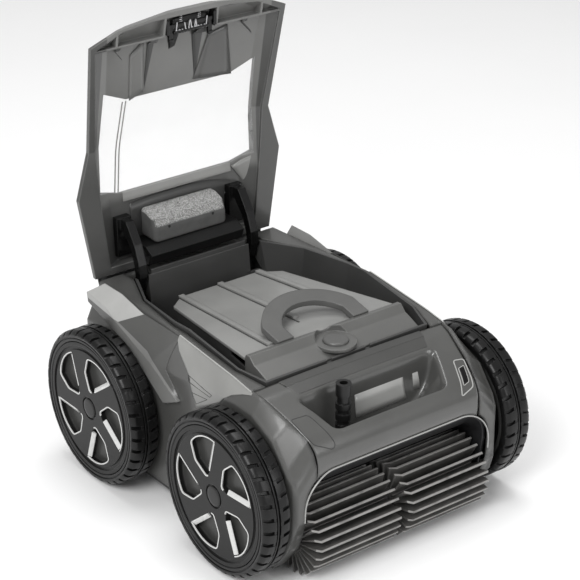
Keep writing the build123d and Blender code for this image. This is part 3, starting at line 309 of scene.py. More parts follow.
def moulded(name, shade, rough, radius, coat=0.0, edge_highlight=0.35, gloss=0.5, layers=()):
    """Moulded plastic: cloudy shade, fine grain, edges rounded and lightened by a painted highlight.

    Roughness = rough + a tenth x (cloud - half) + a twentieth x (speckle - half). Each layer lays another shade by
    its mask.
    """
    finish = Finish(name, **{"Specular IOR Level": gloss})
    finish.set(Coat_Weight=coat, Coat_Roughness=PLASTIC_COAT)
    soft, edge = finish.rounding(radius)
    cloud = finish.noise(PLASTIC_CLOUDS, 4)
    speckle = finish.noise(PLASTIC_GRAINS)
    patch = cloud.step(*PLASTIC_CHANGE)
    body = finish.shaded(patch, shade, *PLASTIC_SHADES)
    for other, mask in layers:
        body = finish.mix(mask(finish), body, finish.shaded(patch, other, *PLASTIC_SHADES))
    # Painted highlight: the rounded edges are lightened towards a paler shade.
    edge_highlighted = finish.mix(edge * edge_highlight, body, solid_colour(scaled(shade, *PLASTIC_EDGE_HIGHLIGHT)))
    finish.set(Base_Color=edge_highlighted, Roughness=rough + 0.10 * (cloud - 0.5) + 0.05 * (speckle - 0.5))
    finish.set(Normal=finish.bump(speckle, GRAIN_HEIGHT, soft))


# Rubber: clouds and pits to the metre, depth of a pit, strengths of the clouds and where they change, where a layer
# shows in them, radius of the edges, and the strength and lift of the pale dust and painted sheen on them.
RUBBER_CLOUDS, RUBBER_PITS, PIT_DEPTH = 45, 2600, 0.06
RUBBER_SHADES, RUBBER_CHANGE = (0.85, 1.25), (0.35, 0.75)
LAYER_CHANGE = (0.2, 0.5)
RUBBER_EDGE = 0.7 * MM
RUBBER_DUST_AND_SHEEN = (2.0, 0.03)


def rubbery(name, shade, rough, dust_and_sheen=0.25, gloss=0.5, layers=()):
    """Rubber: finely pitted, its edges paled by a trace of dust and a painted sheen.

    Roughness = rough + 0.16 x (cloud - half) + 0.08 x (pits - half). Each layer lays another shade by its mask and
    the clouds.
    """
    finish = Finish(name, **{"Specular IOR Level": gloss})
    soft, edge = finish.rounding(RUBBER_EDGE)
    cloud = finish.noise(RUBBER_CLOUDS, 5)
    pits = finish.noise(RUBBER_PITS)
    body = finish.shaded(cloud.step(*RUBBER_CHANGE), shade, *RUBBER_SHADES)
    for other, mask in layers:
        body = finish.mix(mask(finish) * cloud.step(*LAYER_CHANGE), body, solid_colour(other))
    # Pale edges: partly a trace of dust, partly a painted sheen standing in for highlights on the edges.
    dust_and_sheen_colour = finish.mix(edge * dust_and_sheen, body, solid_colour(scaled(shade, *RUBBER_DUST_AND_SHEEN)))
    finish.set(Base_Color=dust_and_sheen_colour, Roughness=rough + 0.16 * (cloud - 0.5) + 0.08 * (pits - 0.5))
    finish.set(Normal=finish.bump(pits, PIT_DEPTH, soft))


# Edges of a fender cap's painted highlight bands: side-view straight lines as (slope, z where y is 0), and their
# softness.
HEXAGON_LINES, HEXAGON_SOFT = ((-0.548, 287.0), (0.128, 202.2)), 0.8
STRIP_LINES, STRIP_SOFT = ((0.26, 185.8), (0.63, 162.7)), 0.6
STRIP_END = (120, 150)
# Where the other masks begin and are full: out from the middle, up from the floor, forwards of the axles' middle,
# out to the blades' tips, and out to the rim's face.
STILE_EDGE = (125.5, 127)
FOOT_EDGE = (322, 338)
BAR_EDGE = (78.2, 78.8)
TIP_EDGE = (BRUSH_RADIUS - 0.9, BRUSH_RADIUS - 0.3)
POCKET_WALL = (TYRE_INNER + RIM_FACE - 8.2, TYRE_INNER + RIM_FACE - 6)


def above(finish, lines, soft):
    """Masks of what lies above straight lines of the side view: z - slope x y against each line's height."""
    y, z = finish.axis(1), finish.axis(2)
    return [(z - slope * y).rise(height, height + soft) for slope, height in lines]


def on_hexagon(finish):
    """Mask of a fender cap's top, painted light as a highlight: above two straight lines on its side."""
    front, foot = above(finish, HEXAGON_LINES, HEXAGON_SOFT)
    return front * foot


def on_strip(finish):
    """Mask of a fender cap's lower band, painted lighter as a highlight: below two straight lines on its side, and
    ahead of the cap's tail.
    """
    rear, front = above(finish, STRIP_LINES, STRIP_SOFT)
    return (1 - rear) * (1 - front) * (1 - finish.axis(1).rise(*STRIP_END))


def on_stile(finish):
    """Mask of the painted shade on the lid frame's two side stiles and on its foot below the window."""
    side = finish.size_of(finish.axis(0)).rise(*STILE_EDGE)
    foot = 1 - finish.axis(2).rise(*FOOT_EDGE)
    return side + foot - side * foot


def on_bar(finish):
    """Mask of the filter cover's front bar and tongue."""
    return (0 - finish.axis(1)).rise(*BAR_EDGE)


def on_tips(finish):
    """Mask of the blade tips' painted highlight, by the distance from the roller's axis."""
    return distance(finish.axis(1) - BRUSH_Y * MM, finish.axis(2) - BRUSH_Z * MM).rise(*TIP_EDGE)


def in_pocket(finish):
    """Mask of a rim's pocket floors, which lie in from its face."""
    return 1 - finish.size_of(finish.axis(0)).rise(*POCKET_WALL)


STEEL_SHADES = ((0.46, 0.46, 0.47, 1), (0.62, 0.62, 0.63, 1))
WINDOW_SHADES = ((0.86, 0.87, 0.87, 1), (0.95, 0.95, 0.95, 1))
CLOTH_SHADES = ((0.30, 0.31, 0.31, 1), (0.74, 0.75, 0.74, 1))
CLOTH_THREADS = 160.0
# Foam: cells and crumbs to the metre, strengths of the broken top and of the smooth skin.
FOAM_CELLS, FOAM_CRUMBS = 700.0, 950
FOAM_BROKEN, FOAM_SMOOTH = (0.36, 1.9), (0.27, 0.33)
# Screw holes of the float, painted dark as their shade: distance from the middle, height over the block's foot, and
# where the dark ends.
HOLE_X, HOLE_HEIGHT, HOLE_EDGE = 35, 19, (1.6, 2.4)
HOLE_SHADE = (0.006, 0.006, 0.006, 1)


def turned_steel(name):
    """Bright steel with turning marks round the X axis: noise drawn out along Y and Z."""
    finish = Finish(name, Metallic=1.0)
    marks = finish.noise(2200, 3, (1, 0.04, 0.04))
    cloud = finish.noise(60, 3)
    finish.set(Base_Color=finish.mix(cloud, *STEEL_SHADES))
    finish.set(Roughness=0.22 + 0.16 * marks + 0.08 * (cloud - 0.5), Normal=finish.bump(marks, 0.03))


def clear_window(name):
    """Clear moulded window, a little hazier in patches."""
    finish = Finish(name, IOR=1.45)
    haze = finish.noise(25, 4)
    finish.set(Base_Color=finish.mix(haze, *WINDOW_SHADES))
    finish.set(Alpha=0.07 + 0.05 * haze, Roughness=0.06 + 0.06 * haze)


def woven_mesh(name):
    """Fine filter cloth: threads along X and Z that pass over and under each other."""
    finish = Finish(name)
    inputs = {"Vector": finish.place, "Scale": CLOTH_THREADS}
    warp, weft = (finish.value("ShaderNodeTexWave", {"bands_direction": way}, inputs, 1) for way in "XZ")
    finish.set(Base_Color=finish.mix(warp * weft, *CLOTH_SHADES))
    finish.set(Roughness=0.75 + 0.1 * finish.noise(30, 3), Normal=finish.bump(warp * weft, 0.2))


def speckled_foam(name, shade):
    """Closed-cell foam: pale broken cells on the top, smoother grey skin on the sides, two screw holes painted dark
    as their shade.
    """
    finish = Finish(name)
    cells = finish.value("ShaderNodeTexVoronoi", {"feature": "F1"}, {"Vector": finish.place, "Scale": FOAM_CELLS})
    crumbs = finish.noise(FOAM_CRUMBS, 4)
    cloud = finish.noise(60, 3)
    top = finish.upward().step(0.30, 0.42)
    spots = (crumbs + 0.35 * cells).step(0.54, 0.82)
    smooth = finish.shaded(cloud.step(0.3, 0.7), shade, *FOAM_SMOOTH)
    shown = finish.mix(top, smooth, finish.shaded(spots, shade, *FOAM_BROKEN))
    # Painted shade: the screw holes are dark spots on the surface.
    across = finish.size_of(finish.axis(0)) - HOLE_X * MM
    outside = distance(across, finish.axis(2) - (FLOAT_LOW[2] + HOLE_HEIGHT) * MM).rise(*HOLE_EDGE)
    finish.set(Base_Color=finish.mix(outside, HOLE_SHADE, shown))
    finish.set(Roughness=0.70 + 0.2 * crumbs, Normal=finish.bump(top * (crumbs + cells), 0.5))


def bright_trim(name, shade):
    """Bright painted trim with a soft sheen."""
    finish = Finish(name)
    cloud = finish.noise(70, 3)
    finish.set(Base_Color=finish.shaded(cloud, shade, 0.94, 1.05))
    finish.set(Roughness=0.22 + 0.1 * cloud, Normal=finish.bump(finish.noise(900), 0.03))


MOTOR_SHADE = (0.05, 0.055, 0.06)
BOX_SHADE = (0.03, 0.03, 0.03)
LINE_SHADE = (0.012, 0.012, 0.012)


def make_finishes(shades, edge, broad):
    """Makes every finish once, from its shade, roughness and edge radius.

    The record's slots come first, under their own names, and then the added details.
    """
    moulded("shell_grey", shades.shell, 0.30, broad, coat=0.3, edge_highlight=0.0)
    # Fender caps: the shell's plastic with two painted highlight bands, the lower strip and the lit top.
    moulded("fender_light", shades.shell, 0.34, edge, coat=0.15, edge_highlight=0.6,
            layers=((shades.strip, on_strip), (shades.fender, on_hexagon)))
    moulded("bumper_grey", shades.bumper, 0.24, 2 * edge, coat=0.5, edge_highlight=0.12)
    moulded("bay_dark", shades.bay, 0.38, edge)
    moulded("tray_black", shades.tray, 0.45, edge)
    # The lid: its stiles and foot painted darker as shade.
    moulded("lid_grey", shades.lid, 0.30, 2 * edge, coat=0.2, edge_highlight=0.7, layers=((shades.stile_shade, on_stile),))
    clear_window("window_clear")
    moulded("hinge_black", shades.hinge, 0.22, 1.6 * edge, coat=0.12, edge_highlight=0.05, gloss=0.35)
    # The float shelf: painted near black as the shade under the float.
    moulded("shelf_dark", shades.shelf, 0.36, edge, gloss=0.2)
    speckled_foam("float_foam", shades.foam)
    moulded("filter_grey", shades.cover, 0.33, 2 * edge, coat=0.2, layers=((shades.bar, on_bar),))
    moulded("handle_grey", shades.handle, 0.33, 2 * edge, coat=0.15)
    moulded("tub_dark", shades.bay, 0.42, edge)
    woven_mesh("filter_fabric")
    # The brush blades get a painted highlight along their tips.
    rubbery("brush_rubber", shades.brush, 0.34, dust_and_sheen=0.3, layers=((shades.tip_highlight, on_tips),))
    rubbery("gland_rubber", shades.rubber, 0.36, gloss=0.4)
    moulded("motor_case", MOTOR_SHADE, 0.5, edge)
    moulded("box_case", BOX_SHADE, 0.5, edge)
    moulded("grille_black", shades.tray, 0.4, edge)
    turned_steel("steel")
    moulded("bush_plastic", shades.gear, 0.45, 0.5 * edge)
    rubbery("tyre_rubber", shades.rubber, 0.32, dust_and_sheen=0.55, gloss=0.3)
    moulded("rim_black", shades.rim, 0.30, edge, coat=0.04, edge_highlight=0.6, gloss=0.16,
            layers=((shades.pocket, in_pocket),))
    moulded("gear_plastic", shades.gear, 0.42, 0.4 * edge, edge_highlight=0.1)
    moulded("hub_cap", scaled(shades.rim, 2), 0.30, edge, gloss=0.2)
    # Side panels: a painted highlight, the shell's plastic made lighter.
    moulded("side_panel", shades.panel, 0.34, 0.5 * edge, coat=0.25)
    # Recess pads: a painted reflection of the lamps in the glossy hand recess.
    moulded("recess_reflection_pad", shades.fender, 0.16, 0.5 * edge, coat=0.6)
    moulded("dark_rib", shades.bay, 0.34, edge)
    # Lid facets: the dark one a painted shadow, the light one a painted highlight on the lid's plastic.
    moulded("lid_shadow_facet", scaled(shades.stile_shade, 1.3), 0.32, edge, coat=0.1)
    moulded("lid_facet", scaled(shades.lid, 1.5), 0.3, edge, coat=0.2)
    moulded("black_plate", shades.hinge, 0.3, edge, edge_highlight=0.05, gloss=0.3)
    moulded("deck_ledge", scaled(shades.bumper, 0.7), 0.3, edge, coat=0.2)
    bright_trim("wheel_trim", shades.trim)
    # Body beads: painted highlights along edges, in the fender tops' light shade.
    bright_trim("body_highlight_bead", shades.fender)
    moulded("scribed_line", LINE_SHADE, 0.6, 0.2 * edge, edge_highlight=0.0)


# How near two points are merged, and the depth of a line's foot below the surface that it lies on, in millimetres.
MERGE_DISTANCE = 0.002
LINE_SINK = 0.4


class Form:
    """A mesh in the making: sheets of points, in millimetres, and their faces."""

    def __init__(self):
        self.points, self.faces, self.total = [], [], 0

    def sheet(self, points, round_rows=False, round_columns=False):
        """Joins each point of a rows-by-columns sheet to its neighbours; a round sheet meets itself."""
        points = np.asarray(points, float)
        rows, columns = points.shape[:2]
        number = self.total + np.arange(rows * columns).reshape(rows, columns)
        number = np.vstack([number, number[:1]]) if round_rows else number
        number = np.hstack([number, number[:, :1]]) if round_columns else number
        corners = [number[:-1, :-1], number[:-1, 1:], number[1:, 1:], number[1:, :-1]]
        self.points.append(points.reshape(-1, 3))
        self.faces.extend(np.stack(corners, -1).reshape(-1, 4).tolist())
        self.total += rows * columns
        return self

    def tube(self, rings):
        """A closed tube of rings whose ends draw in to their middles."""
        rings = np.asarray(rings, float)
        return self.sheet(np.concatenate([drawn_in(rings[:1]), rings, drawn_in(rings[-1:])]), round_columns=True)

    def line(self, path, up, width, rise, closed=False):
        """A low line along a path on a surface: a flat-topped profile across the path's run, up from the surface."""
        half = width / 2
        profile = ((-half, -LINE_SINK), (-half, 0.4 * rise), (-0.6 * half, rise),
                   (0.6 * half, rise), (half, 0.4 * rise), (half, -LINE_SINK))
        up = np.broadcast_to(np.asarray(up, float), path.shape)
        rings = swept(path, np.cross(up, tangents(path, closed)), up, profile)
        return self.sheet(rings, round_rows=True, round_columns=True) if closed else self.tube(rings)

    def piece(self, name, finish, body, slot, replaces=(), crease=35, wall=0.0, facing=None):
        """Makes the mesh: doubles merged, faces outwards, smooth up to the crease angle, riding on its body."""
        mesh = bpy.data.meshes.new(name)
        mesh.from_pydata((np.concatenate(self.points) * MM).tolist(), [], self.faces)
        work = bmesh.new()
        work.from_mesh(mesh)
        bmesh.ops.remove_doubles(work, verts=work.verts, dist=MERGE_DISTANCE * MM)
        bmesh.ops.recalc_face_normals(work, faces=work.faces)
        if facing is not None:
            total = sum((np.array(face.normal) * face.calc_area() for face in work.faces), np.zeros(3))
            if total @ np.array(facing) < 0:
                bmesh.ops.reverse_faces(work, faces=work.faces)
        work.to_mesh(mesh)
        work.free()
        mesh.shade_smooth()
        mesh.set_sharp_from_angle(angle=math.radians(crease))
        mesh.materials.append(FINISHES[finish].material)
        made = bpy.data.objects.new(name, mesh)
        bpy.context.scene.collection.objects.link(made)
        if wall:
            solid = made.modifiers.new("Wall", "SOLIDIFY")
            solid.thickness, solid.offset = wall * MM, -1
        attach(made, body)
        if replaces:
            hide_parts(*replaces)
        return made


def drawn_in(ring):
    """A ring of points drawn in to its middle."""
    return np.repeat(ring.mean(1, keepdims=True), ring.shape[1], 1)


def even(path, number, closed=False):
    """Points spaced evenly along a line of straight runs."""
    path = np.asarray(path, float)
    path = np.vstack([path, path[:1]]) if closed else path
    run = run_along(path)
    where = np.linspace(0, run[-1], number, endpoint=not closed)
    return np.stack([np.interp(where, run, path[:, axis]) for axis in range(path.shape[1])], -1)


def run_along(path):
    """Length of a line from its start to each of its points."""
    return np.concatenate([[0], np.cumsum(np.linalg.norm(np.diff(path, axis=0), axis=1))])


def eased(path, reach, closed=False):
    """Each point moved to the mean of its neighbours up to reach steps away, which rounds the corners."""
    if closed:
        return np.mean([np.roll(path, shift, 0) for shift in range(-reach, reach + 1)], 0)
    first, last = path[:1], path[-1:]
    far = np.arange(reach, 0, -1)[:, None]
    wide = np.vstack([first + far * (first - path[1:2]), path, last + far[::-1] * (last - path[-2:-1])])
    kernel = np.ones(2 * reach + 1) / (2 * reach + 1)
    return np.stack([np.convolve(wide[:, axis], kernel, "valid") for axis in range(path.shape[1])], -1)


def tangents(path, closed=False):
    """Unit directions along a line, from each point's neighbours."""
    run = np.roll(path, -1, 0) - np.roll(path, 1, 0) if closed else np.gradient(path, axis=0)
    return run / np.linalg.norm(run, axis=1, keepdims=True)


def swept(path, across, up, profile):
    """A profile carried along a path: point = path + a x across + h x up for each (a, h) of the profile."""
    profile = np.asarray(profile, float)
    return path[:, None] + profile[None, :, :1] * across[:, None] + profile[None, :, 1:] * up[:, None]


def carried(x, section):
    """A section of (y, z), or one section for each place, carried along X."""
    section = np.asarray(section, float)
    section = np.broadcast_to(section, (len(x), *section.shape[-2:]))
    return np.concatenate([np.broadcast_to(x[:, None, None], (*section.shape[:2], 1)), section], -1)


def ruled(first, second, rows):
    """A sheet of straight lines between two edges with the same number of points."""
    share = np.linspace(0, 1, rows)[:, None, None]
    return np.asarray(first, float) * (1 - share) + np.asarray(second, float) * share


def turned(side, y, across, radius, angle):
    """Points about a wheel's axle: across from the inner face outwards, radius, and angle as seen from outside."""
    across, radius, angle = np.broadcast_arrays(across, radius, angle)
    return np.stack([side * (TYRE_INNER + across), y + side * radius * np.cos(angle),
                     AXLE_HEIGHT + radius * np.sin(angle)], -1)


def wheel_names():
    """Each wheel's name, side and axle place."""
    ends = (("front", -AXLE_Y), ("rear", AXLE_Y))
    return [(f"{end}_{hand}", side, y) for end, y in ends for hand, side in SIDES]


# Wall of a tyre from the inner bead round to the outer one: distance from the inner face, radius, and the share of
# the slot depth that the inner and the outer tread row take there.
TYRE_WALL = np.array([
    (3, 88.5, 0, 0), (1.2, 89.4, 0, 0), (0.4, 92, 0, 0), (0, 96, 0, 0), (0.5, 98.8, 0.1, 0), (2.4, 101.4, 0.7, 0),
    (5, 103.1, 1, 0), (8, 103.4, 1, 0), (12, 103.5, 1, 0), (12.8, 103.5, 0.15, 0), (17, 103.2, 0.15, 0),
    (17.3, 100.0, 0, 0), (18.8, 100.0, 0, 0), (19.1, 102.4, 0, 0), (20.9, 102.4, 0, 0), (21.2, 100.0, 0, 0),
    (22.7, 100.0, 0, 0), (23, 103.2, 0, 0.15), (26.4, 103.5, 0, 0.15), (27.2, 103.5, 0, 1), (32, 103.4, 0, 1),
    (35, 103.0, 0, 1), (37.6, 101.2, 0, 0.7), (39.4, 99.2, 0, 0.25), (40, 97.6, 0, 0), (40, 95.4, 0, 0),
    (39.7, 94.8, 0, 0), (38.3, 94.4, 0, 0), (38.3, 93.4, 0, 0), (39.4, 93.0, 0, 0), (39.6, 92.4, 0, 0),
    (39.4, 90.2, 0, 0), (38.7, 89.5, 0, 0), (37.6, 88.5, 0, 0),
])
# Slots of one tread pitch: share of the pitch and how much of the depth is cut there.
SLOT_PLACES = np.array([0, 0.03, 0.27, 0.30, 0.52, 0.76, 1.0])
SLOT_DEPTHS = np.array([0, 1, 1, 0, 0, 0, 0])
# Turn of the slots for each millimetre from the tyre's middle.
TREAD_LEAN = math.radians(0.12)


def tyre_form(side, y, pitches, depth):
    """A tyre: its wall turned about the axle and sunk at the tread's slots.

    Radius = wall radius - depth x slot(angle) x share, with the outer row half a pitch ahead of the inner row, and
    angle = turn + lean x distance from the middle, which slants the slots of both rows a little.
    """
    places = np.unique(np.round(np.concatenate([SLOT_PLACES, (SLOT_PLACES + 0.5) % 1]), 4))[:-1]
    turn = 2 * np.pi * (np.arange(pitches)[:, None] + places).ravel() / pitches
    inner = np.tile(np.interp(places, SLOT_PLACES, SLOT_DEPTHS), pitches)[:, None]
    outer = np.tile(np.interp((places + 0.5) % 1, SLOT_PLACES, SLOT_DEPTHS), pitches)[:, None]
    across, wall, inner_share, outer_share = TYRE_WALL.T
    radius = wall - depth * (inner * inner_share + outer * outer_share)
    angle = turn[:, None] + TREAD_LEAN * np.abs(across - TYRE_WIDTH / 2)
    return Form().sheet(turned(side, y, across, radius, angle), round_rows=True, round_columns=True)


# Corners of a rim pocket: angle in degrees, seen from outside, and share of the rim face's radius.
POCKET_FACE = 78.5
POCKET_ARC = ((87, 0.96), (108, 0.965), (130, 0.90))
POCKET_SIDE = ((130, 0.90), (138, 0.63), (124, 0.32), (114, 0.335))
POCKET_EDGE = ((87.5, 0.93), (102.5, 0.42))
POCKET_MIDDLE = (112, 0.68)
POCKETS = 5
# Turn in degrees of the first pocket of the front and the rear rims.
RIM_TURN = {"front": 0.0, "rear": 32.0}
# Profiles of the trim as (place towards the pocket's middle, height out): the bead's places are shares of its half
# width, and the bevel's are millimetres.
TRIM_BEAD = ((-1, -1.2), (-1, 0.2), (-0.5, 0.5), (0.5, 0.5), (1, 0.2), (1, -1.2))
TRIM_BEVEL = ((-0.6, -2.5), (-0.6, 0.3), (0.4, 0.6), (4.8, -1.9), (5.2, -2.5), (4.8, -3.4))


def polar(points):
    """Plane points of (angle in degrees, share of the rim face's radius)."""
    angle, share = np.array(points, float).T
    angle = np.radians(angle)
    return POCKET_FACE * share[:, None] * np.stack([np.cos(angle), np.sin(angle)], -1)


def on_rim(side, y, plane, out):
    """Plane points of a rim, with their height out of its face, set on the wheel."""
    return turned(side, y, RIM_FACE + out, np.hypot(plane[..., 0], plane[..., 1]),
                  np.arctan2(plane[..., 1], plane[..., 0]))


def trim_form(side, y, width, first_turn):
    """Bright lines of a rim: a thin bead round three sides of each pocket and a broad bevel along the fourth.

    Each line is a profile carried along a path in the rim's plane, and the other pockets are the first one turned.
    """
    arc_angle = np.linspace(POCKET_ARC[0][0], POCKET_ARC[-1][0], 24)
    arc = np.polyval(np.polyfit(*np.array(POCKET_ARC).T, 2), arc_angle)
    outline = np.vstack([polar(np.stack([arc_angle, arc], -1)), polar(POCKET_SIDE)[1:]])
    bead = np.array(TRIM_BEAD) * (width / 2, 1)
    lines = ((eased(even(outline, 70), 2), bead), (even(polar(POCKET_EDGE), 14), np.array(TRIM_BEVEL)))
    form = Form()
    for path, profile in lines:
        run = tangents(path)
        inward = np.stack([-run[:, 1], run[:, 0]], -1)
        toward = polar([POCKET_MIDDLE])[0] - path.mean(0)
        inward = inward * np.sign((inward @ toward).mean())
        plane = path[:, None] + profile[None, :, :1] * inward[:, None]
        out = np.broadcast_to(profile[None, :, 1], plane.shape[:2])
        for turn in np.radians(first_turn + np.arange(POCKETS) * 360 / POCKETS):
            spin = np.array([(np.cos(turn), np.sin(turn)), (-np.sin(turn), np.cos(turn))])
            form.tube(on_rim(side, y, plane @ spin, out))
    return form


# Hub cover: height out of the rim's face and radius.
HUB_PROFILE = ((-0.6, 12.8), (0.15, 12.7), (0.5, 12.0), (0.75, 9.5), (0.85, 5), (0.9, 0.1))


def hub_form(side, y):
    """A low domed hub cover: a profile of (height out, radius) turned about the axle."""
    out, radius = np.array(HUB_PROFILE).T[..., None]
    turn = np.linspace(0, 2 * np.pi, 48, endpoint=False)
    return Form().tube(turned(side, y, RIM_FACE + out, radius, turn))


# Brush roller: inner end, radius of the core, and the core's ends as (distance from the end, radius).
BRUSH_INNER = 5.0
BRUSH_CORE = 20.0
CORE_END = ((0, 0.1), (0, 15), (0.4, 15.6), (1.2, 19.4), (2, 20))
# Half of a blade's section from its root to its tip, as (radius, place across), and its places along the roller.
BLADE_SECTION = ((17, -2.6), (20.5, -1.7), (24, -1.35), (34, -1.2), (43, -1.3), (46.6, -1.6), (47.7, -1.5),
                 (48, -1.1), (48, 0))
BLADE_PLACES = np.array([0, 0.004, 0.02, 0.04, 0.065, 0.07, 0.075, 0.25, 0.5, 0.75, 0.996, 1])
# Share of a blade that folds, and at its two ends the share of its thickness and the drop of its tip past a radius.
BLADE_FOLD = 0.07
BLADE_END, TIP_DROP, TIP_START = 0.55, 0.6, 40


def on_brush(x, radius, angle):
    """Points about the brush's axis: place across the cleaner, radius and angle."""
    x, radius, angle = np.broadcast_arrays(x, radius, angle)
    return np.stack([x, BRUSH_Y + radius * np.cos(angle), BRUSH_Z + radius * np.sin(angle)], -1)


def brush_form(side, blades, bend):
    """A brush roller: thin blades round a core, with the left end of each blade folded round the roller.

    A blade is a thin section of (radius, half width) carried along the roller; its turn grows evenly from a crease
    near its left end as bend x end share x (radius - core) / (tip - core).
    """
    low, high = BRUSH_INNER, BRUSH_HIGH[0]
    share = BLADE_PLACES if side > 0 else 1 - BLADE_PLACES[::-1]
    section = np.array(BLADE_SECTION)
    wide, across = np.vstack([section, section[-2::-1] * (1, -1)]).T
    fold = np.clip(1 - (share if side > 0 else 1 - share) / BLADE_FOLD, 0, 1)
    end = ((share == 0) | (share == 1))[:, None]
    radius = np.minimum(wide, BRUSH_RADIUS) - TIP_DROP * end * (wide > TIP_START)
    lean = bend * fold[:, None] * np.clip((radius - BRUSH_CORE) / (BRUSH_RADIUS - BRUSH_CORE), 0, 1)
    along = side * (low + (high - low) * share)
    form = Form()
    for turn in 2 * np.pi * np.arange(blades) / blades:
        angle = turn - lean + across * np.where(end, BLADE_END, 1.0) / radius
        form.tube(on_brush(along[:, None], radius, angle))
    depth, girth = np.array(CORE_END).T
    along = side * np.concatenate([low + depth, high - depth[::-1]])
    girth = np.concatenate([girth, girth[::-1]])
    turn = np.linspace(0, 2 * np.pi, 60, endpoint=False)
    return form.tube(on_brush(along[:, None], girth[:, None], turn))


# Section of the float block as shares of its depth and of its height, and the radius of its two ends.
FLOAT_SECTION = ((1, 0), (0, 0), (0, 0.48), (0.2, 0.86), (0.62, 1.0), (1, 1.0))
FLOAT_END = 7


def float_form():
    """The float block: a rounded section carried across the lid, drawn in at its two ends by a quarter round."""
    size = FLOAT_HIGH - FLOAT_LOW
    section = eased(even(FLOAT_LOW[1:] + np.array(FLOAT_SECTION) * size[1:], 120, True), 3, True)
    middle = section.mean(0)
    half = size[0] / 2
    turn = np.linspace(0, np.pi / 2, 8)
    depth, draw = FLOAT_END * (1 - np.cos(turn)), FLOAT_END * (1 - np.sin(turn))
    flat = np.linspace(-half + FLOAT_END + 1, half - FLOAT_END - 1, 9)
    along = np.concatenate([depth - half, flat, half - depth[::-1]])
    draw = np.concatenate([draw, 0 * flat, draw[::-1]])
    drawn = np.maximum(np.linalg.norm(section - middle, axis=1), 1)
    rows = middle + (section - middle)[None] * (1 - draw[:, None] / drawn[None])[..., None]
    return Form().tube(carried(along, rows))


# Section of the deck from the bay to the arch, as (y, z); its line with rounded corners, and the run along it.
DECK_SECTION = ((-133, 223.9), (-150, 221), (-190, 203), (-216, 188), (-225, 177.5), (-229.6, 165), (-229.6, 152),
                (-227.4, 146))
DECK_LINE = eased(even(DECK_SECTION, 260), 11)
DECK_RUN = run_along(DECK_LINE)
# How many of the line's points lie on the part that faces up.
DECK_UPPER = 215
# Fall of the deck from its middle to its sides, and the half width over which it falls.
DECK_CROWN, CROWN_HALF = 2.0, 140
# Half width of the bumper at the deck's rear edge, and how much it narrows for each millimetre forwards.
SEAM_HALF, SEAM_DRAW = 148, 0.234
# Brush arch: height of its top, half width, radius of its corners, and the height over which the skin fits to it.
ARCH_TOP, ARCH_HALF, ARCH_CORNER, ARCH_FIT = 146.0, 145.0, 46.0, 20


def seam_half(y):
    """Half width of the bumper between its two seams."""
    return SEAM_HALF - SEAM_DRAW * (DECK_SECTION[0][0] - y)


def deck(x, run):
    """A point of the deck: its place along the section, lowered from the middle to the sides by a shallow crown."""
    y = np.interp(run, DECK_RUN, DECK_LINE[:, 0])
    z = np.interp(run, DECK_RUN, DECK_LINE[:, 1])
    fall = DECK_CROWN * (x / CROWN_HALF) ** 2 * np.clip((z - ARCH_TOP) / ARCH_FIT, 0, 1)
    return np.stack([x + 0 * y, y, z - fall], -1)


def deck_up(run):
    """Direction out of the deck at a place along its section: the section's own direction turned upright."""
    way = tangents(DECK_LINE)
    y, z = (np.interp(run, DECK_RUN, way[:, axis]) for axis in (0, 1))
    return np.stack([0 * y, z, -y], -1) / np.hypot(y, z)[..., None]


def run_at(y):
    """Place along the deck's section for a place in y, on the part that faces up."""
    return np.interp(-np.asarray(y, float), -DECK_LINE[:DECK_UPPER, 0], DECK_RUN[:DECK_UPPER])


# Points of the bumper's loops: across the front and the rear, and along each side. Rows outside the hand recess.
ACROSS_POINTS, SIDE_POINTS, OUTER_ROWS = 80, 45, 18
# Hand recess: corners as (x, y), place of the middle that it shrinks to in x and as a share of its length, floor.
RECESS_CORNERS = ((-110, -163), (110, -163), (88, -216), (-88, -216))
RECESS_MIDDLE = (-30.0, 0.58)
RECESS_FLOOR = 150.0
# Rows of the hand recess from its lip down: scale across and along the deck, drop of the lip, and share of the wall.
RECESS_ROWS = np.array([
    (0.992, 0.985, 0.25, 0), (0.982, 0.965, 1.1, 0), (0.972, 0.945, 2.6, 0), (0.96, 0.925, 4.5, 0),
    (0.945, 0.91, 4.5, 0.12), (0.92, 0.885, 4.5, 0.32), (0.885, 0.855, 4.5, 0.52), (0.84, 0.815, 4.5, 0.69),
    (0.79, 0.77, 4.5, 0.82), (0.74, 0.715, 4.5, 0.91), (0.69, 0.66, 4.5, 0.97), (0.64, 0.60, 4.5, 1.0),
])


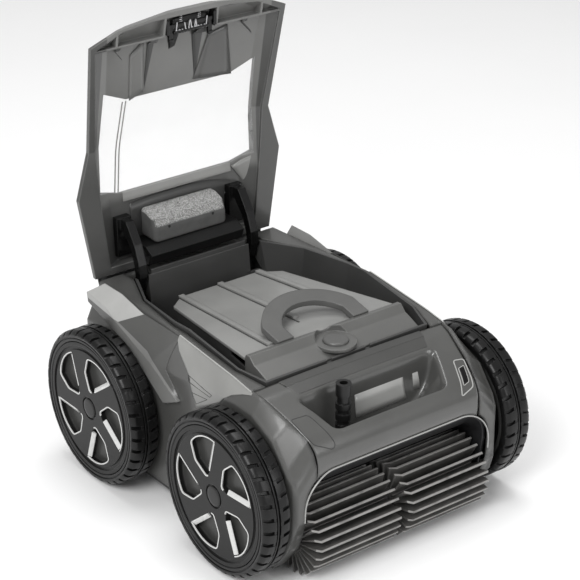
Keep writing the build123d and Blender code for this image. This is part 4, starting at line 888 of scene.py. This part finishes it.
def bumper_points():
    """Points of the bumper's skin, in rows from its outline in to the hand recess and down to the recess floor.

    In the plan of (x, run along the section), rows pass from the outline loop to the recess loop, then shrink and
    sink: depth = lip + (floor depth - lip) x wall share. The plan is then laid on the deck, and its front edge is
    lowered round the corners of the brush arch.
    """
    front = DECK_RUN[-1]
    forth = np.linspace(0, 1, SIDE_POINTS, endpoint=False) * front
    back = front - forth
    across = np.linspace(-1, 1, ACROSS_POINTS, endpoint=False)
    half = [seam_half(np.interp(run, DECK_RUN, DECK_LINE[:, 0])) for run in (forth, back)]
    outline = np.concatenate([
        np.stack([across * seam_half(DECK_LINE[0, 0]), 0 * across], -1),
        np.stack([half[0], forth], -1),
        np.stack([-across * seam_half(DECK_LINE[-1, 0]), 0 * across + front], -1),
        np.stack([-half[1], back], -1),
    ])
    corners = np.array([(x, run_at(y)) for x, y in RECESS_CORNERS])
    counts = (ACROSS_POINTS, SIDE_POINTS, ACROSS_POINTS, SIDE_POINTS)
    sides = [np.linspace(*ends, number, endpoint=False)
             for *ends, number in zip(corners, np.roll(corners, -1, 0), counts)]
    recess = eased(np.concatenate(sides), 6, True)
    rear, fore = corners[0, 1], corners[2, 1]
    middle = np.array([RECESS_MIDDLE[0], rear + RECESS_MIDDLE[1] * (fore - rear)])
    share = np.linspace(0, 1, OUTER_ROWS)[:, None, None]
    inner = middle + (recess - middle)[None] * RECESS_ROWS[:, None, :2]
    plan = np.concatenate([outline + (recess - outline) * share, inner])
    points = deck(plan[..., 0], plan[..., 1])
    lip, wall = RECESS_ROWS[:, 2:3], RECESS_ROWS[:, 3:]
    level = points[OUTER_ROWS:, :, 2] - lip
    points[OUTER_ROWS:, :, 2] = level - wall * (level - RECESS_FLOOR)
    outer = points[:OUTER_ROWS]
    edge = np.clip(np.abs(outer[..., 0]) - (ARCH_HALF - ARCH_CORNER), 0, ARCH_CORNER - 1)
    dip = ARCH_CORNER - np.sqrt(ARCH_CORNER ** 2 - edge ** 2)
    outer[..., 2] -= dip * np.clip((ARCH_TOP + ARCH_FIT - outer[..., 2]) / ARCH_FIT, 0, 1)
    return points


def bumper_form():
    """The bumper's skin, closed at the recess floor by a fan."""
    points = bumper_points()
    floor = np.concatenate([points[-1:], drawn_in(points[-1:])])
    return Form().sheet(points, round_columns=True).sheet(floor, round_columns=True)


# Painted reflections on the rear wall of the recess, laid as light pads: lowest and highest x, first and last row
# below the lip. The right end of a pad draws in towards its upper edge, and the pad is lifted off the wall.
RECESS_REFLECTIONS = ((-20, 60, 5, 8), (72, 84, 5, 7))
PAD_DRAW = 4
PAD_LIFT = (0, -0.5, 0.45)


def reflection_pad_form(low, high, first, last):
    """A thin light pad, a painted reflection on the recess's rear wall: the bumper's own rows read at even places in
    x, lifted off the wall.
    """
    rows = bumper_points()[OUTER_ROWS + first:OUTER_ROWS + last + 1, :ACROSS_POINTS]
    draw = np.linspace(0, 1, len(rows)) * PAD_DRAW - PAD_DRAW
    patch = [np.stack([np.interp(x, row[:, 0], row[:, axis]) for axis in range(3)], -1)
             for row, x in zip(rows, np.linspace(low, high + draw, 24).T)]
    return Form().sheet(np.array(patch) + PAD_LIFT)


# Loops on the deck, as corners of (x, y).
BEZEL_OUTER = ((118.5, -188.8), (133.5, -191), (122.5, -222.5), (101.2, -226))
BEZEL_SLOT = ((117.6, -199.9), (127.4, -198.4), (119.4, -217.5), (109.4, -219.4))
DECK_PANEL = ((-133, -186), (-109.3, -188), (-105.5, -196.6), (-96.2, -225), (-101.2, -227), (-124.5, -220),
              (-129, -209))
SLOT_LIFT = 0.6
# Widths and heights of the thin lines: round the bezel, round its slot, and the painted highlight beads of the body.
BEZEL_LINE, SLOT_LINE, BODY_HIGHLIGHT_BEAD = (1.5, 0.7), (1.3, 0.7), (1.8, 0.9)
# Height of a scribed line, and the width of the lines on the sides as a share of the seam width.
SCRIBE_RISE, SIDE_SEAM = 0.12, 0.7
# Ledge behind the recess: place in y, height over the deck and half width. Its two ends sink into the deck.
LEDGE_ROWS = np.array([(-133.3, -0.8, 111), (-133.5, 1.3, 111), (-144.6, 1.5, 108), (-145.4, 0.6, 108),
                       (-160.2, 0.5, 101), (-160.9, -0.8, 101)])
LEDGE_SINK = -0.8


def deck_loop(corners, number, reach):
    """A rounded loop on the deck through corners of (x, y): its points and the directions out of the deck."""
    x, y = np.array(corners, float).T
    x, run = eased(even(np.stack([x, run_at(y)], -1), number, True), reach, True).T
    return deck(x, run), deck_up(run)


def slot_form():
    """The dark floor of the right-hand bezel, painted black as the shade inside its slot: a ruled patch between the
    slot's long edges.
    """
    corners = np.array(BEZEL_SLOT, float)
    plan = ruled(np.linspace(corners[0], corners[1], 6), np.linspace(corners[3], corners[2], 6), 10)
    run = run_at(plan[..., 1])
    return Form().sheet(deck(plan[..., 0], run) + SLOT_LIFT * deck_up(run))


def ledge_form():
    """The dark stepped ledge: rows along the deck's section, each lifted by its own height and sunk at its ends."""
    y, rise, half = LEDGE_ROWS.T[..., None]
    share = np.concatenate([[-1, -0.995], np.linspace(-0.99, 0.99, 40), [0.995, 1]])
    lift = np.where(np.abs(share) == 1, LEDGE_SINK, rise)
    run = run_at(y)
    return Form().sheet(deck(half * share, run + 0 * share) + lift[..., None] * deck_up(run))


# Front face of the brush arch, from its foot up: height and place in y.
ARCH_FACE = ((88, -229.4), (100, -230.1), (138, -230.1), (146, -228.6))


def arch_bead_form():
    """A thin bead round the brush arch, a painted highlight on its rounded edge: up one leg, round the two corners
    and down the other leg.
    """
    turn = np.linspace(0, np.pi / 2, 16)
    middle, level = ARCH_HALF - ARCH_CORNER, ARCH_TOP - ARCH_CORNER
    corner = np.stack([middle + ARCH_CORNER * np.cos(turn), level + ARCH_CORNER * np.sin(turn)], -1)
    half = np.vstack([[(ARCH_HALF, ARCH_FACE[0][0])], corner])
    x, z = even(np.vstack([half, half[::-1] * (-1, 1)]), 160).T
    path = np.stack([x, np.interp(z, *np.array(ARCH_FACE).T), z], -1)
    return Form().line(path, (0, -1, 0), *BODY_HIGHLIGHT_BEAD)


# Ribs of the filter cover: x at the rear end, x at the front end and y of the front end. The cover's plane is
# z = height - fall x y, and a dark line, a painted shadow, lies at the left foot of each rib.
COVER_RIBS = ((-62, -74, -70), (0, 0, -38), (62, 74, -70))
COVER_REAR = 135.0
COVER_HEIGHT, COVER_FALL = 229.74, 0.08345
COVER_RIB_HALF, COVER_RIB_GAP, COVER_RIB_SHADOW_LINE = 3.75, 0.7, (2.4, 0.7)


def cover_shadow_line_form():
    """Painted shadows: dark lines along the left foot of each rib, on the cover's plane."""
    form = Form()
    for rear, front, end in COVER_RIBS:
        y = np.linspace(COVER_REAR, end, 40)
        x = np.linspace(rear, front, 40) - COVER_RIB_HALF - COVER_RIB_GAP
        form.line(np.stack([x, y, COVER_HEIGHT - COVER_FALL * y], -1), (0, 0, 1), *COVER_RIB_SHADOW_LINE)
    return form


# Side of the body: crest and belt heights from the front to the rear, half width at the belt, and its loss above.
FLANK_Y = (-150, -100, 8)
CREST_Z = (221, 229, 240)
BELT_Z = (203, 205, 190)
FLANK_HALF, FLANK_LEAN = 163, 13
# Side panel: foot line and rear end of its upper edge as (y, z), scribed outlines, and how far each stands out.
PANEL_FOOT = ((-136, 220.8), (-122, 217.3), (-107, 211), (-96, 202.7), (-86, 192), (-62, 178), (-38, 165),
              (-25, 198.4), (7, 221.4), (14, 233))
PANEL_END = ((-140, 250), (10.9, 250), (14, 234))
PANEL_LINES = (((-20, 202), (-72, 197), (-68, 192.6), (-24, 195)), ((-30, 183), (-62.5, 187), (-39, 171)))
PANEL_OUT, BEAD_OUT, LINES_OUT = 0.9, 0.6, 0.95
# Side bead: its two ends in y. Directions out of the body's side for the bead and for the lines.
BEAD_ENDS = (-134, 11)
BEAD_UP, LINES_UP = (0.8, 0.6), (0.97, 0.25)


def flank(side, y, z, out):
    """A point on the body's side: x falls evenly from the belt up to the crest, and the point is set out from it."""
    y, z = np.broadcast_arrays(np.asarray(y, float), np.asarray(z, float))
    top, belt = np.interp(y, FLANK_Y, CREST_Z), np.interp(y, FLANK_Y, BELT_Z)
    climb = np.clip((z - belt) / (top - belt), 0, 1)
    return np.stack([side * (FLANK_HALF - FLANK_LEAN * climb + out), y, z], -1)


def crest(y):
    """Height of a side panel's upper edge: the body's crest, cut off by the panel's rear end."""
    return np.minimum(np.interp(y, FLANK_Y, CREST_Z), np.interp(y, *np.array(PANEL_END).T))


def side_panel_form(side):
    """A side panel, painted lighter than the shell as a highlight: upright rows of points from its foot line up to
    the body's crest.
    """
    y = np.linspace(PANEL_FOOT[0][0], PANEL_FOOT[-1][0], 90)
    foot = np.interp(y, *np.array(PANEL_FOOT).T)
    z = ruled(foot[:, None], np.maximum(crest(y), foot)[:, None], 16)[..., 0]
    return Form().sheet(flank(side, y[None, :], z, PANEL_OUT))


def side_bead_form(side):
    """A bead along the top of a side panel, bright as a painted highlight on its edge."""
    y = np.linspace(*BEAD_ENDS, 60)
    return Form().line(flank(side, y, crest(y), BEAD_OUT), (BEAD_UP[0] * side, 0, BEAD_UP[1]), *BODY_HIGHLIGHT_BEAD)


def side_line_form(side, width):
    """Scribed outlines on a side panel: low closed lines along even points of each outline."""
    form = Form()
    for corners in PANEL_LINES:
        y, z = even(corners, 80, True).T
        up = (LINES_UP[0] * side, 0, LINES_UP[1])
        form.line(flank(side, y, z, LINES_OUT), up, width, SCRIBE_RISE, True)
    return form


# Dark ribs under the lid's lip: two upper corners and the foot of each, and the place of its back.
LID_RIBS = (
    ((-57, 192, 551), (-37, 207, 548), (-54.8, 221, 475), 205.5),
    ((10, 191, 550), (42, 207, 548), (24, 221, 475), 205.5),
    ((-113, 191, 550), (-98, 200, 550), (-93, 209, 527), 204.5),
    ((80.6, 191, 550), (97, 200, 550), (108, 209, 522), 204.5),
)
# Height over which a rib stands out under the lip. Below it the rib lies on the lid's inner face, which is
# y = start + slope x (top - z), with its left, right and rear edge a little off it, and ends in a small triangle.
LID_RIB_STAND = 9.5
LID_FACE, LID_FACE_SLOPE, LID_FACE_TOP = 204, 0.2237, 551
LID_RIB_EDGES = (-0.9, 1.2, 1.6)
LID_RIB_TIP = ((0, 0, 0), (0.6, 0, 0), (0.3, 2, 0))


def lid_ribs_form():
    """Dark ribs: triangles that stand out under the lip and then narrow along the inner face to the foot."""
    form = Form()
    for left, right, foot, back in LID_RIBS:
        left, right, foot = np.array((left, right, foot), float)
        upper = np.array([left, right, (left + right) / 2 * (1, 0, 1) + (0, back, 0)])
        share = LID_RIB_STAND / (left - foot)[2]
        low = (1 - share) * upper + share * foot
        low[:, 1] = LID_FACE + (LID_FACE_TOP - low[:, 2]) * LID_FACE_SLOPE + LID_RIB_EDGES
        form.tube(np.array([upper, low, foot + np.array(LID_RIB_TIP)]))
    return form


# Flat plates of the lid, as four corners: facets of its inner face, the second a painted shadow, the slanted facet
# under the window's lower right corner, a painted highlight, and the latch's hanging bracket. Each is set forwards
# of its corners.
LID_FACETS = (
    ((-82, 208, 531), (-63, 204.2, 548), (-54, 220.6, 475), (-76, 222.4, 466)),
    ((38, 206.4, 536), (67, 205.2, 543), (84, 222.2, 468), (22, 220.8, 474)),
)
SILL_FACET = ((90, 231.6, 332), (125, 226.4, 345), (126, 225.6, 278), (113, 231.0, 300))
LATCH_BRACKET = ((-27, 201, 553), (-10, 201, 553), (-13, 210.2, 529), (-22, 210.4, 527))
FACET_OUT = (0, -0.8, 0)
# Plate behind the float: its arched top as (x, z), its foot and its place in y.
ALCOVE_TOP = ((-73.5, 319.7), (-37, 323), (22.6, 323.8), (58.8, 320), (88.5, 312.8), (111.4, 292.8))
ALCOVE_FOOT, ALCOVE_Y = 238, 233.2
# Sill under the window: its section as (y, z) and its two ends in x.
SILL_SECTION = ((235, 325), (231.6, 325.6), (231, 327.2), (231.8, 332), (233.2, 337.4), (235, 338.4))
SILL_ENDS = (-84, 88)
# Skirt of the lid: foot line of the lid as (x, y), and levels of the skirt with their scale.
LID_FOOT = ((-133, 225.3), (-117, 233), (-77.6, 235), (77.6, 235), (117, 233), (133, 225.3))
SKIRT_LEVELS = ((240, 1.0), (232, 1.0), (220, 0.99), (211, 0.975), (209, 0.965))
# Black plates behind the hinge arms: inner and outer edge as (distance from the middle, z), and place in y.
ARM_PLATE_INNER, ARM_PLATE_OUTER = ((78, 298), (78, 258), (84, 240)), ((104, 296), (110, 262), (104, 242))
ARM_PLATE_Y = 232.4
# Back of the latch's pocket: half width, place in y, foot, top at the middle, and fall of the top to its sides.
LATCH_BACK_HALF, LATCH_BACK_Y, LATCH_BACK_FOOT, LATCH_BACK_TOP, LATCH_BACK_CROWN = 27, 191.4, 551.5, 574, 0.003
# Fold of the window: its line, and its two beads with their distance from it.
FOLD_LINE = ((-84, 221.4, 467), (-89.5, 233, 401), (-93.6, 232.8, 340))
FOLD_HALF, FOLD_BEAD = 2.6, (1.6, 0.8)


def facet_form(corners):
    """A flat plate ruled between its upper and lower edge."""
    a, b, c, d = np.array(corners, float)
    return Form().sheet(ruled(np.linspace(a, b, 6), np.linspace(d, c, 6), 10) + FACET_OUT)


def dropped(x, y, z, foot, rows):
    """An upright sheet: straight lines from points at one place in y down to a foot."""
    upper = np.stack([x, 0 * x + y, z], -1)
    return Form().sheet(ruled(upper, upper * (1, 1, 0) + (0, 0, foot), rows))


def alcove_form():
    """The dark plate behind the float: upright lines from its arched top down to its foot."""
    x, z = even(ALCOVE_TOP, 60).T
    return dropped(x, ALCOVE_Y, z, ALCOVE_FOOT, 8)


def latch_pocket_form():
    """The black back of the latch's pocket: an upright sheet behind the fins, its top falling as x squared."""
    x = np.linspace(-LATCH_BACK_HALF, LATCH_BACK_HALF, 10)
    return dropped(x, LATCH_BACK_Y, LATCH_BACK_TOP - LATCH_BACK_CROWN * x ** 2, LATCH_BACK_FOOT, 6)


def sill_form():
    """The sill under the window, painted lighter than the lid as a highlight: its section carried across the lid."""
    return Form().tube(carried(np.linspace(*SILL_ENDS, 24), SILL_SECTION))


def skirt_form():
    """The lid's lower skirt: its foot line carried down from inside the lid's wall and drawn in a little."""
    z, scale = np.array(SKIRT_LEVELS).T[..., None]
    x, y = even(LID_FOOT, 90).T
    return Form().sheet(np.stack([x * scale, y * scale, z + 0 * x], -1))


def arm_plate_form(side):
    """A black plate behind a hinge arm: a ruled sheet between its inner and its outer edge."""
    sheet = ruled(even(ARM_PLATE_INNER, 12), even(ARM_PLATE_OUTER, 12), 8)
    return Form().sheet(np.stack([side * sheet[..., 0], 0 * sheet[..., 0] + ARM_PLATE_Y, sheet[..., 1]], -1))


def fold_form():
    """The pale fold down the window's left side: two thin beads carried along the same bent line."""
    path = eased(even(FOLD_LINE, 60), 6)
    form = Form()
    for shift in (-FOLD_HALF, FOLD_HALF):
        form.line(path + (shift, 0, 0), (0, -1, 0), *FOLD_BEAD)
    return form


SPRING_TURNS = 4
SPRING_WIRE = 0.8


def spring_form():
    """The two latch springs: a round wire carried up a helix, turn = share x turns, climbing evenly."""
    turn = np.linspace(0, 2 * np.pi * SPRING_TURNS, 24 * SPRING_TURNS + 1)
    half = SPRING_WIRE / 2
    radius = (SPRING_HIGH[1] - SPRING_LOW[1] - SPRING_WIRE) / 2
    out = np.stack([np.cos(turn), np.sin(turn), 0 * turn], -1)
    rise = np.linspace(SPRING_LOW[2] + half, SPRING_HIGH[2] - half, len(turn))
    y = (SPRING_LOW[1] + SPRING_HIGH[1]) / 2
    wire = np.linspace(0, 2 * np.pi, 8, endpoint=False)[None, :, None]
    form = Form()
    for x in (SPRING_LOW[0] + radius + half, SPRING_HIGH[0] - radius - half):
        path = radius * out + np.stack([0 * rise + x, 0 * rise + y, rise], -1)
        across = np.cross(tangents(path), out)
        form.tube(path[:, None] + half * (np.cos(wire) * out[:, None] + np.sin(wire) * across[:, None]))
    return form


# Fins of the latch: places in x, half thickness, front and rear face, foot, and leans and heights that take turns.
FIN_PLACES = (-23, -8.5, -4, 0.5, 5, 8.5, 23)
FIN_HALF, FIN_FRONT, FIN_REAR, FIN_FOOT = 0.7, 189.5, 191, 556
FIN_LEANS, FIN_HEIGHTS = (1.6, -1.6), (11, 9, 10)
# Bar under the fins: half length, section as (y, z), depth of its notches, and the turn of their wave for each
# millimetre.
LATCH_BAR_HALF = 24
LATCH_BAR_SECTION = ((189.4, 553.4), (191, 553.4), (191, 556.6), (189.4, 556.6))
NOTCH_DEPTH, NOTCH_TURN = 0.7, 1.3


def latch_fin_form():
    """Upright fins of the latch: thin plates that lean, and a bar under them, notched by the sign of a sine."""
    form = Form()
    for number, x in enumerate(FIN_PLACES):
        low, high = x - FIN_HALF, x + FIN_HALF
        foot = np.array([(low, FIN_FRONT, FIN_FOOT), (high, FIN_FRONT, FIN_FOOT),
                         (high, FIN_REAR, FIN_FOOT), (low, FIN_REAR, FIN_FOOT)])
        form.tube(ruled(foot, foot + (FIN_LEANS[number % 2], 0, FIN_HEIGHTS[number % 3]), 4))
    along = np.linspace(-LATCH_BAR_HALF, LATCH_BAR_HALF, 2 * LATCH_BAR_HALF + 1)
    notch = NOTCH_DEPTH * np.sign(np.sin(along * NOTCH_TURN))
    return form.tube(carried(along, np.array(LATCH_BAR_SECTION) + notch[:, None, None] * (0, 1)))


DECK_FACING = (0, -0.3, 1)
LID_FACING = (0, -1, 0)


class CleanerOperator:
    """What the operators share."""

    bl_options = {"REGISTER", "UNDO"}

    @property
    def sizes(self):
        return bpy.context.scene.cleaner_sizes

    @property
    def colours(self):
        return bpy.context.scene.cleaner_colours


class CLEANER_OT_finishes(CleanerOperator, Operator):
    """Makes the finishes and gives every solid its own"""

    bl_idname = "cleaner.finishes"
    bl_label = "Finishes"

    def execute(self, context):
        make_finishes(self.colours, self.sizes.edge_radius, self.sizes.shell_radius)
        for part in frame["record"]["subparts"]:
            shown = frame["nodes"][part["node"]]
            for place in shown.material_slots:
                place.material = FINISHES[part["material_slot"]].material
        return {"FINISHED"}


class CLEANER_OT_tyres(CleanerOperator, Operator):
    """Makes the four tyres with their tread"""

    bl_idname = "cleaner.tyres"
    bl_label = "Tyres"

    def execute(self, context):
        for name, side, y in wheel_names():
            form = tyre_form(side, y, self.sizes.tread_pitches, self.sizes.tread_depth / MM)
            form.piece(f"{name}_tread", "tyre_rubber", f"{name}_wheel", "tyre_rubber", [f"{name}_tyre"], crease=30)
        return {"FINISHED"}


class CLEANER_OT_wheel_trims(CleanerOperator, Operator):
    """Makes the bright pocket lines and the hub covers of the wheels"""

    bl_idname = "cleaner.wheel_trims"
    bl_label = "Wheel Trims"

    def execute(self, context):
        for name, side, y in wheel_names():
            trim = trim_form(side, y, self.sizes.trim_width / MM, RIM_TURN[name.split("_")[0]])
            trim.piece(f"{name}_trim", "wheel_trim", f"{name}_wheel", "rim_black")
            hub_form(side, y).piece(f"{name}_hub", "hub_cap", f"{name}_wheel", "rim_black")
        return {"FINISHED"}


class CLEANER_OT_brushes(CleanerOperator, Operator):
    """Makes the two brush rollers with folded blade ends"""

    bl_idname = "cleaner.brushes"
    bl_label = "Brushes"

    def execute(self, context):
        for hand, side in SIDES:
            form = brush_form(side, self.sizes.blade_count, self.sizes.blade_bend)
            form.piece(f"{hand}_brush_blades", "brush_rubber", f"{hand}_brush_roller", "brush_rubber",
                       [f"{hand}_brush"])
        return {"FINISHED"}


class CLEANER_OT_bumper(CleanerOperator, Operator):
    """Makes the smooth front bumper with its hand recess"""

    bl_idname = "cleaner.bumper"
    bl_label = "Bumper"

    def execute(self, context):
        bumper_form().piece("bumper_skin", "bumper_grey", "chassis", "bumper_grey", ["front_bumper"], crease=60,
                            wall=3.0, facing=DECK_FACING)
        return {"FINISHED"}


class CLEANER_OT_deck_details(CleanerOperator, Operator):
    """Makes the deck's ledge, painted reflection pads, bezel with highlight lines and painted-shade slot, highlight
    arch bead and scribed panel, and the painted shadow lines on the filter cover
    """

    bl_idname = "cleaner.deck_details"
    bl_label = "Deck Details"

    def execute(self, context):
        ledge_form().piece("deck_ledge", "deck_ledge", "chassis", "bumper_grey", wall=1.6, facing=DECK_FACING)
        for number, pad in enumerate(RECESS_REFLECTIONS):
            reflection_pad_form(*pad).piece(f"recess_reflection_pad_{number + 1}", "recess_reflection_pad", "chassis", "bumper_grey", wall=0.8,
                                 facing=DECK_FACING)
        # The bezel's bright outlines are painted highlights round the bezel and its slot.
        bezel = Form().line(*deck_loop(BEZEL_OUTER, 120, 3), *BEZEL_LINE, True)
        bezel.line(*deck_loop(BEZEL_SLOT, 90, 2), *SLOT_LINE, True)
        bezel.piece("bezel", "body_highlight_bead", "chassis", "fender_light")
        # The bezel slot's black floor is painted shade.
        slot_form().piece("bezel_slot", "black_plate", "chassis", "tray_black", wall=0.6, facing=DECK_FACING)
        arch_bead_form().piece("arch_highlight_bead", "body_highlight_bead", "chassis", "bumper_grey")
        scribed = Form().line(*deck_loop(DECK_PANEL, 160, 4), self.sizes.seam_width / MM, SCRIBE_RISE, True)
        scribed.piece("deck_panel_line", "scribed_line", "chassis", "tray_black")
        # Painted shadow lines at the foot of the filter cover's ribs.
        cover_shadow_line_form().piece("cover_rib_shadow_lines", "dark_rib", "filter", "filter_grey")
        return {"FINISHED"}


class CLEANER_OT_side_panels(CleanerOperator, Operator):
    """Makes the side panels, painted light as a highlight, with their highlight beads and scribed lines"""

    bl_idname = "cleaner.side_panels"
    bl_label = "Side Panels"

    def execute(self, context):
        for hand, side in SIDES:
            side_panel_form(side).piece(f"{hand}_side_panel", "side_panel", "chassis", "fender_light", wall=1.6,
                                        facing=(side, 0, 0.2))
            side_bead_form(side).piece(f"{hand}_side_highlight_bead", "body_highlight_bead", "chassis", "fender_light")
            lines = side_line_form(side, SIDE_SEAM * self.sizes.seam_width / MM)
            lines.piece(f"{hand}_side_lines", "scribed_line", "chassis", "tray_black")
        return {"FINISHED"}


def lid_plate(name, form, finish, slot, wall):
    """A plate of the lid: its front face made a wall that grows backwards."""
    form.piece(name, finish, "lid", slot, wall=wall, facing=LID_FACING)


class CLEANER_OT_lid_details(CleanerOperator, Operator):
    """Makes the lid's ribs, painted shadow and highlight facets, highlight sill, skirt, plates and window fold, and
    the fins and springs of its latch
    """

    bl_idname = "cleaner.lid_details"
    bl_label = "Lid Details"

    def execute(self, context):
        lid_ribs_form().piece("lid_ribs", "dark_rib", "lid", "shelf_dark", crease=20)
        lid_plate("lid_facet_1", facet_form(LID_FACETS[0]), "lid_grey", "lid_grey", 1.2)
        lid_plate("lid_facet_2", facet_form(LID_FACETS[1]), "lid_shadow_facet", "lid_grey", 1.2)
        lid_plate("lid_alcove", alcove_form(), "dark_rib", "shelf_dark", 0.8)
        sill_form().piece("window_sill", "lid_facet", "lid", "lid_grey")
        lid_plate("sill_facet", facet_form(SILL_FACET), "lid_facet", "lid_grey", 4.5)
        lid_plate("latch_bracket", facet_form(LATCH_BRACKET), "black_plate", "tray_black", 1.6)
        skirt_form().piece("lid_skirt", "lid_grey", "lid", "lid_grey", wall=2.0, facing=(0, 1, 0))
        for hand, side in SIDES:
            lid_plate(f"{hand}_arm_plate", arm_plate_form(side), "black_plate", "hinge_black", 0.8)
        lid_plate("latch_pocket", latch_pocket_form(), "black_plate", "tray_black", 1.0)
        fold_form().piece("window_fold", "side_panel", "lid", "window_clear")
        latch_fin_form().piece("latch_fins", "steel", "latch", "steel", crease=20)
        springs = spring_form().piece("latch_spring_coils", "steel", "lid", "steel", replaces=("latch_springs",))
        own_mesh(springs)
        return {"FINISHED"}


class CLEANER_OT_float_block(CleanerOperator, Operator):
    """Makes the foam float block in the lid"""

    bl_idname = "cleaner.float_block"
    bl_label = "Float Block"

    def execute(self, context):
        block = float_form().piece("float_block", "float_foam", "lid", "float_foam", ["lid_float"], crease=60)
        return {"FINISHED"}


# Floor: half width and drop below the tyres, in metres, and its two shades.
FLOOR_HALF, FLOOR_DROP = 6, 0.0004
FLOOR_SHADES = ((0.93, 0.93, 0.93, 1), (0.96, 0.96, 0.96, 1))
# Lights: place and width in metres, and power in watts. They all face the same point.
LIGHTS = (("key", (-2.4, -1.2, 2.6), 1.6, 78), ("front", (0.9, -3.0, 1.5), 1.4, 22),
          ("top", (0.3, 0.5, 3.2), 1.8, 44))
LIGHT_AIM = (0, 0, 0.25)
WORLD_COLOUR, WORLD_STRENGTH = (1, 1, 1, 1), 0.48
# Camera: place in metres, degrees below the level and round from the front, sensor and lens in millimetres.
CAMERA_PLACE = (-1.39947, -1.82407, 1.36375)
CAMERA_DOWN, CAMERA_ROUND = 25.61, -37.70
CAMERA_SENSOR, CAMERA_LENS = 36, 126.16


class CLEANER_OT_stage(CleanerOperator, Operator):
    """Makes the floor, the lights and the camera"""

    bl_idname = "cleaner.stage"
    bl_label = "Stage"

    def execute(self, context):
        scene = context.scene
        corners = [(x * FLOOR_HALF, y * FLOOR_HALF, -FLOOR_DROP) for x, y in ((-1, -1), (1, -1), (1, 1), (-1, 1))]
        floor_mesh = bpy.data.meshes.new("floor")
        floor_mesh.from_pydata(corners, [], [(0, 1, 2, 3)])
        floor = bpy.data.objects.new("floor", floor_mesh)
        scene.collection.objects.link(floor)
        paper = Finish("floor_paper", Roughness=0.9)
        paper.set(Base_Color=paper.mix(paper.noise(3, 3), *FLOOR_SHADES))
        floor_mesh.materials.append(paper.material)
        for name, place, size, power in LIGHTS:
            lamp = bpy.data.lights.new(name, "AREA")
            lamp.size, lamp.energy = size, power
            shown = bpy.data.objects.new(name, lamp)
            shown.location = place
            shown.rotation_mode = "QUATERNION"
            aim = np.array(LIGHT_AIM) - np.array(place)
            shown.rotation_quaternion = Vector(aim).to_track_quat("-Z", "Y")
            scene.collection.objects.link(shown)
        world = bpy.data.worlds.new("studio")
        world.use_nodes = True
        background = world.node_tree.nodes["Background"]
        background.inputs["Color"].default_value = WORLD_COLOUR
        background.inputs["Strength"].default_value = WORLD_STRENGTH
        scene.world = world
        scene.view_settings.view_transform = "Standard"
        lens = bpy.data.cameras.new("camera")
        lens.sensor_width, lens.lens = CAMERA_SENSOR, CAMERA_LENS
        camera = bpy.data.objects.new("camera", lens)
        camera.location = CAMERA_PLACE
        camera.rotation_euler = (math.radians(90 - CAMERA_DOWN), 0, math.radians(CAMERA_ROUND))
        scene.collection.objects.link(camera)
        scene.camera = camera
        return {"FINISHED"}


class CLEANER_PT_panel(Panel):
    """Lists the cleaner's sizes, colours and operators"""

    bl_idname = "CLEANER_PT_panel"
    bl_label = "Pool Cleaner"
    bl_space_type = "VIEW_3D"
    bl_region_type = "UI"
    bl_category = "Cleaner"

    def draw(self, context):
        for operator in OPERATORS:
            self.layout.operator(operator.bl_idname)
        for group in (context.scene.cleaner_sizes, context.scene.cleaner_colours):
            for name in group.__annotations__:
                self.layout.prop(group, name)


OPERATORS = (
    CLEANER_OT_finishes, CLEANER_OT_tyres, CLEANER_OT_wheel_trims, CLEANER_OT_brushes, CLEANER_OT_bumper,
    CLEANER_OT_deck_details, CLEANER_OT_side_panels, CLEANER_OT_lid_details, CLEANER_OT_float_block,
    CLEANER_OT_stage,
)
CLASSES = (CleanerSizes, CleanerColours, *OPERATORS, CLEANER_PT_panel)


def register():
    """Registers the classes and hangs the settings on the scene."""
    for made in CLASSES:
        bpy.utils.register_class(made)
    bpy.types.Scene.cleaner_sizes = PointerProperty(type=CleanerSizes)
    bpy.types.Scene.cleaner_colours = PointerProperty(type=CleanerColours)


def unregister():
    """Takes the settings off the scene and the classes out again."""
    del bpy.types.Scene.cleaner_colours
    del bpy.types.Scene.cleaner_sizes
    for made in reversed(CLASSES):
        bpy.utils.unregister_class(made)


def main():
    """Makes every piece in order."""
    register()
    for operator in OPERATORS:
        group, name = operator.bl_idname.split(".")
        getattr(getattr(bpy.ops, group), name)()


if __name__ == "__main__":
    main()
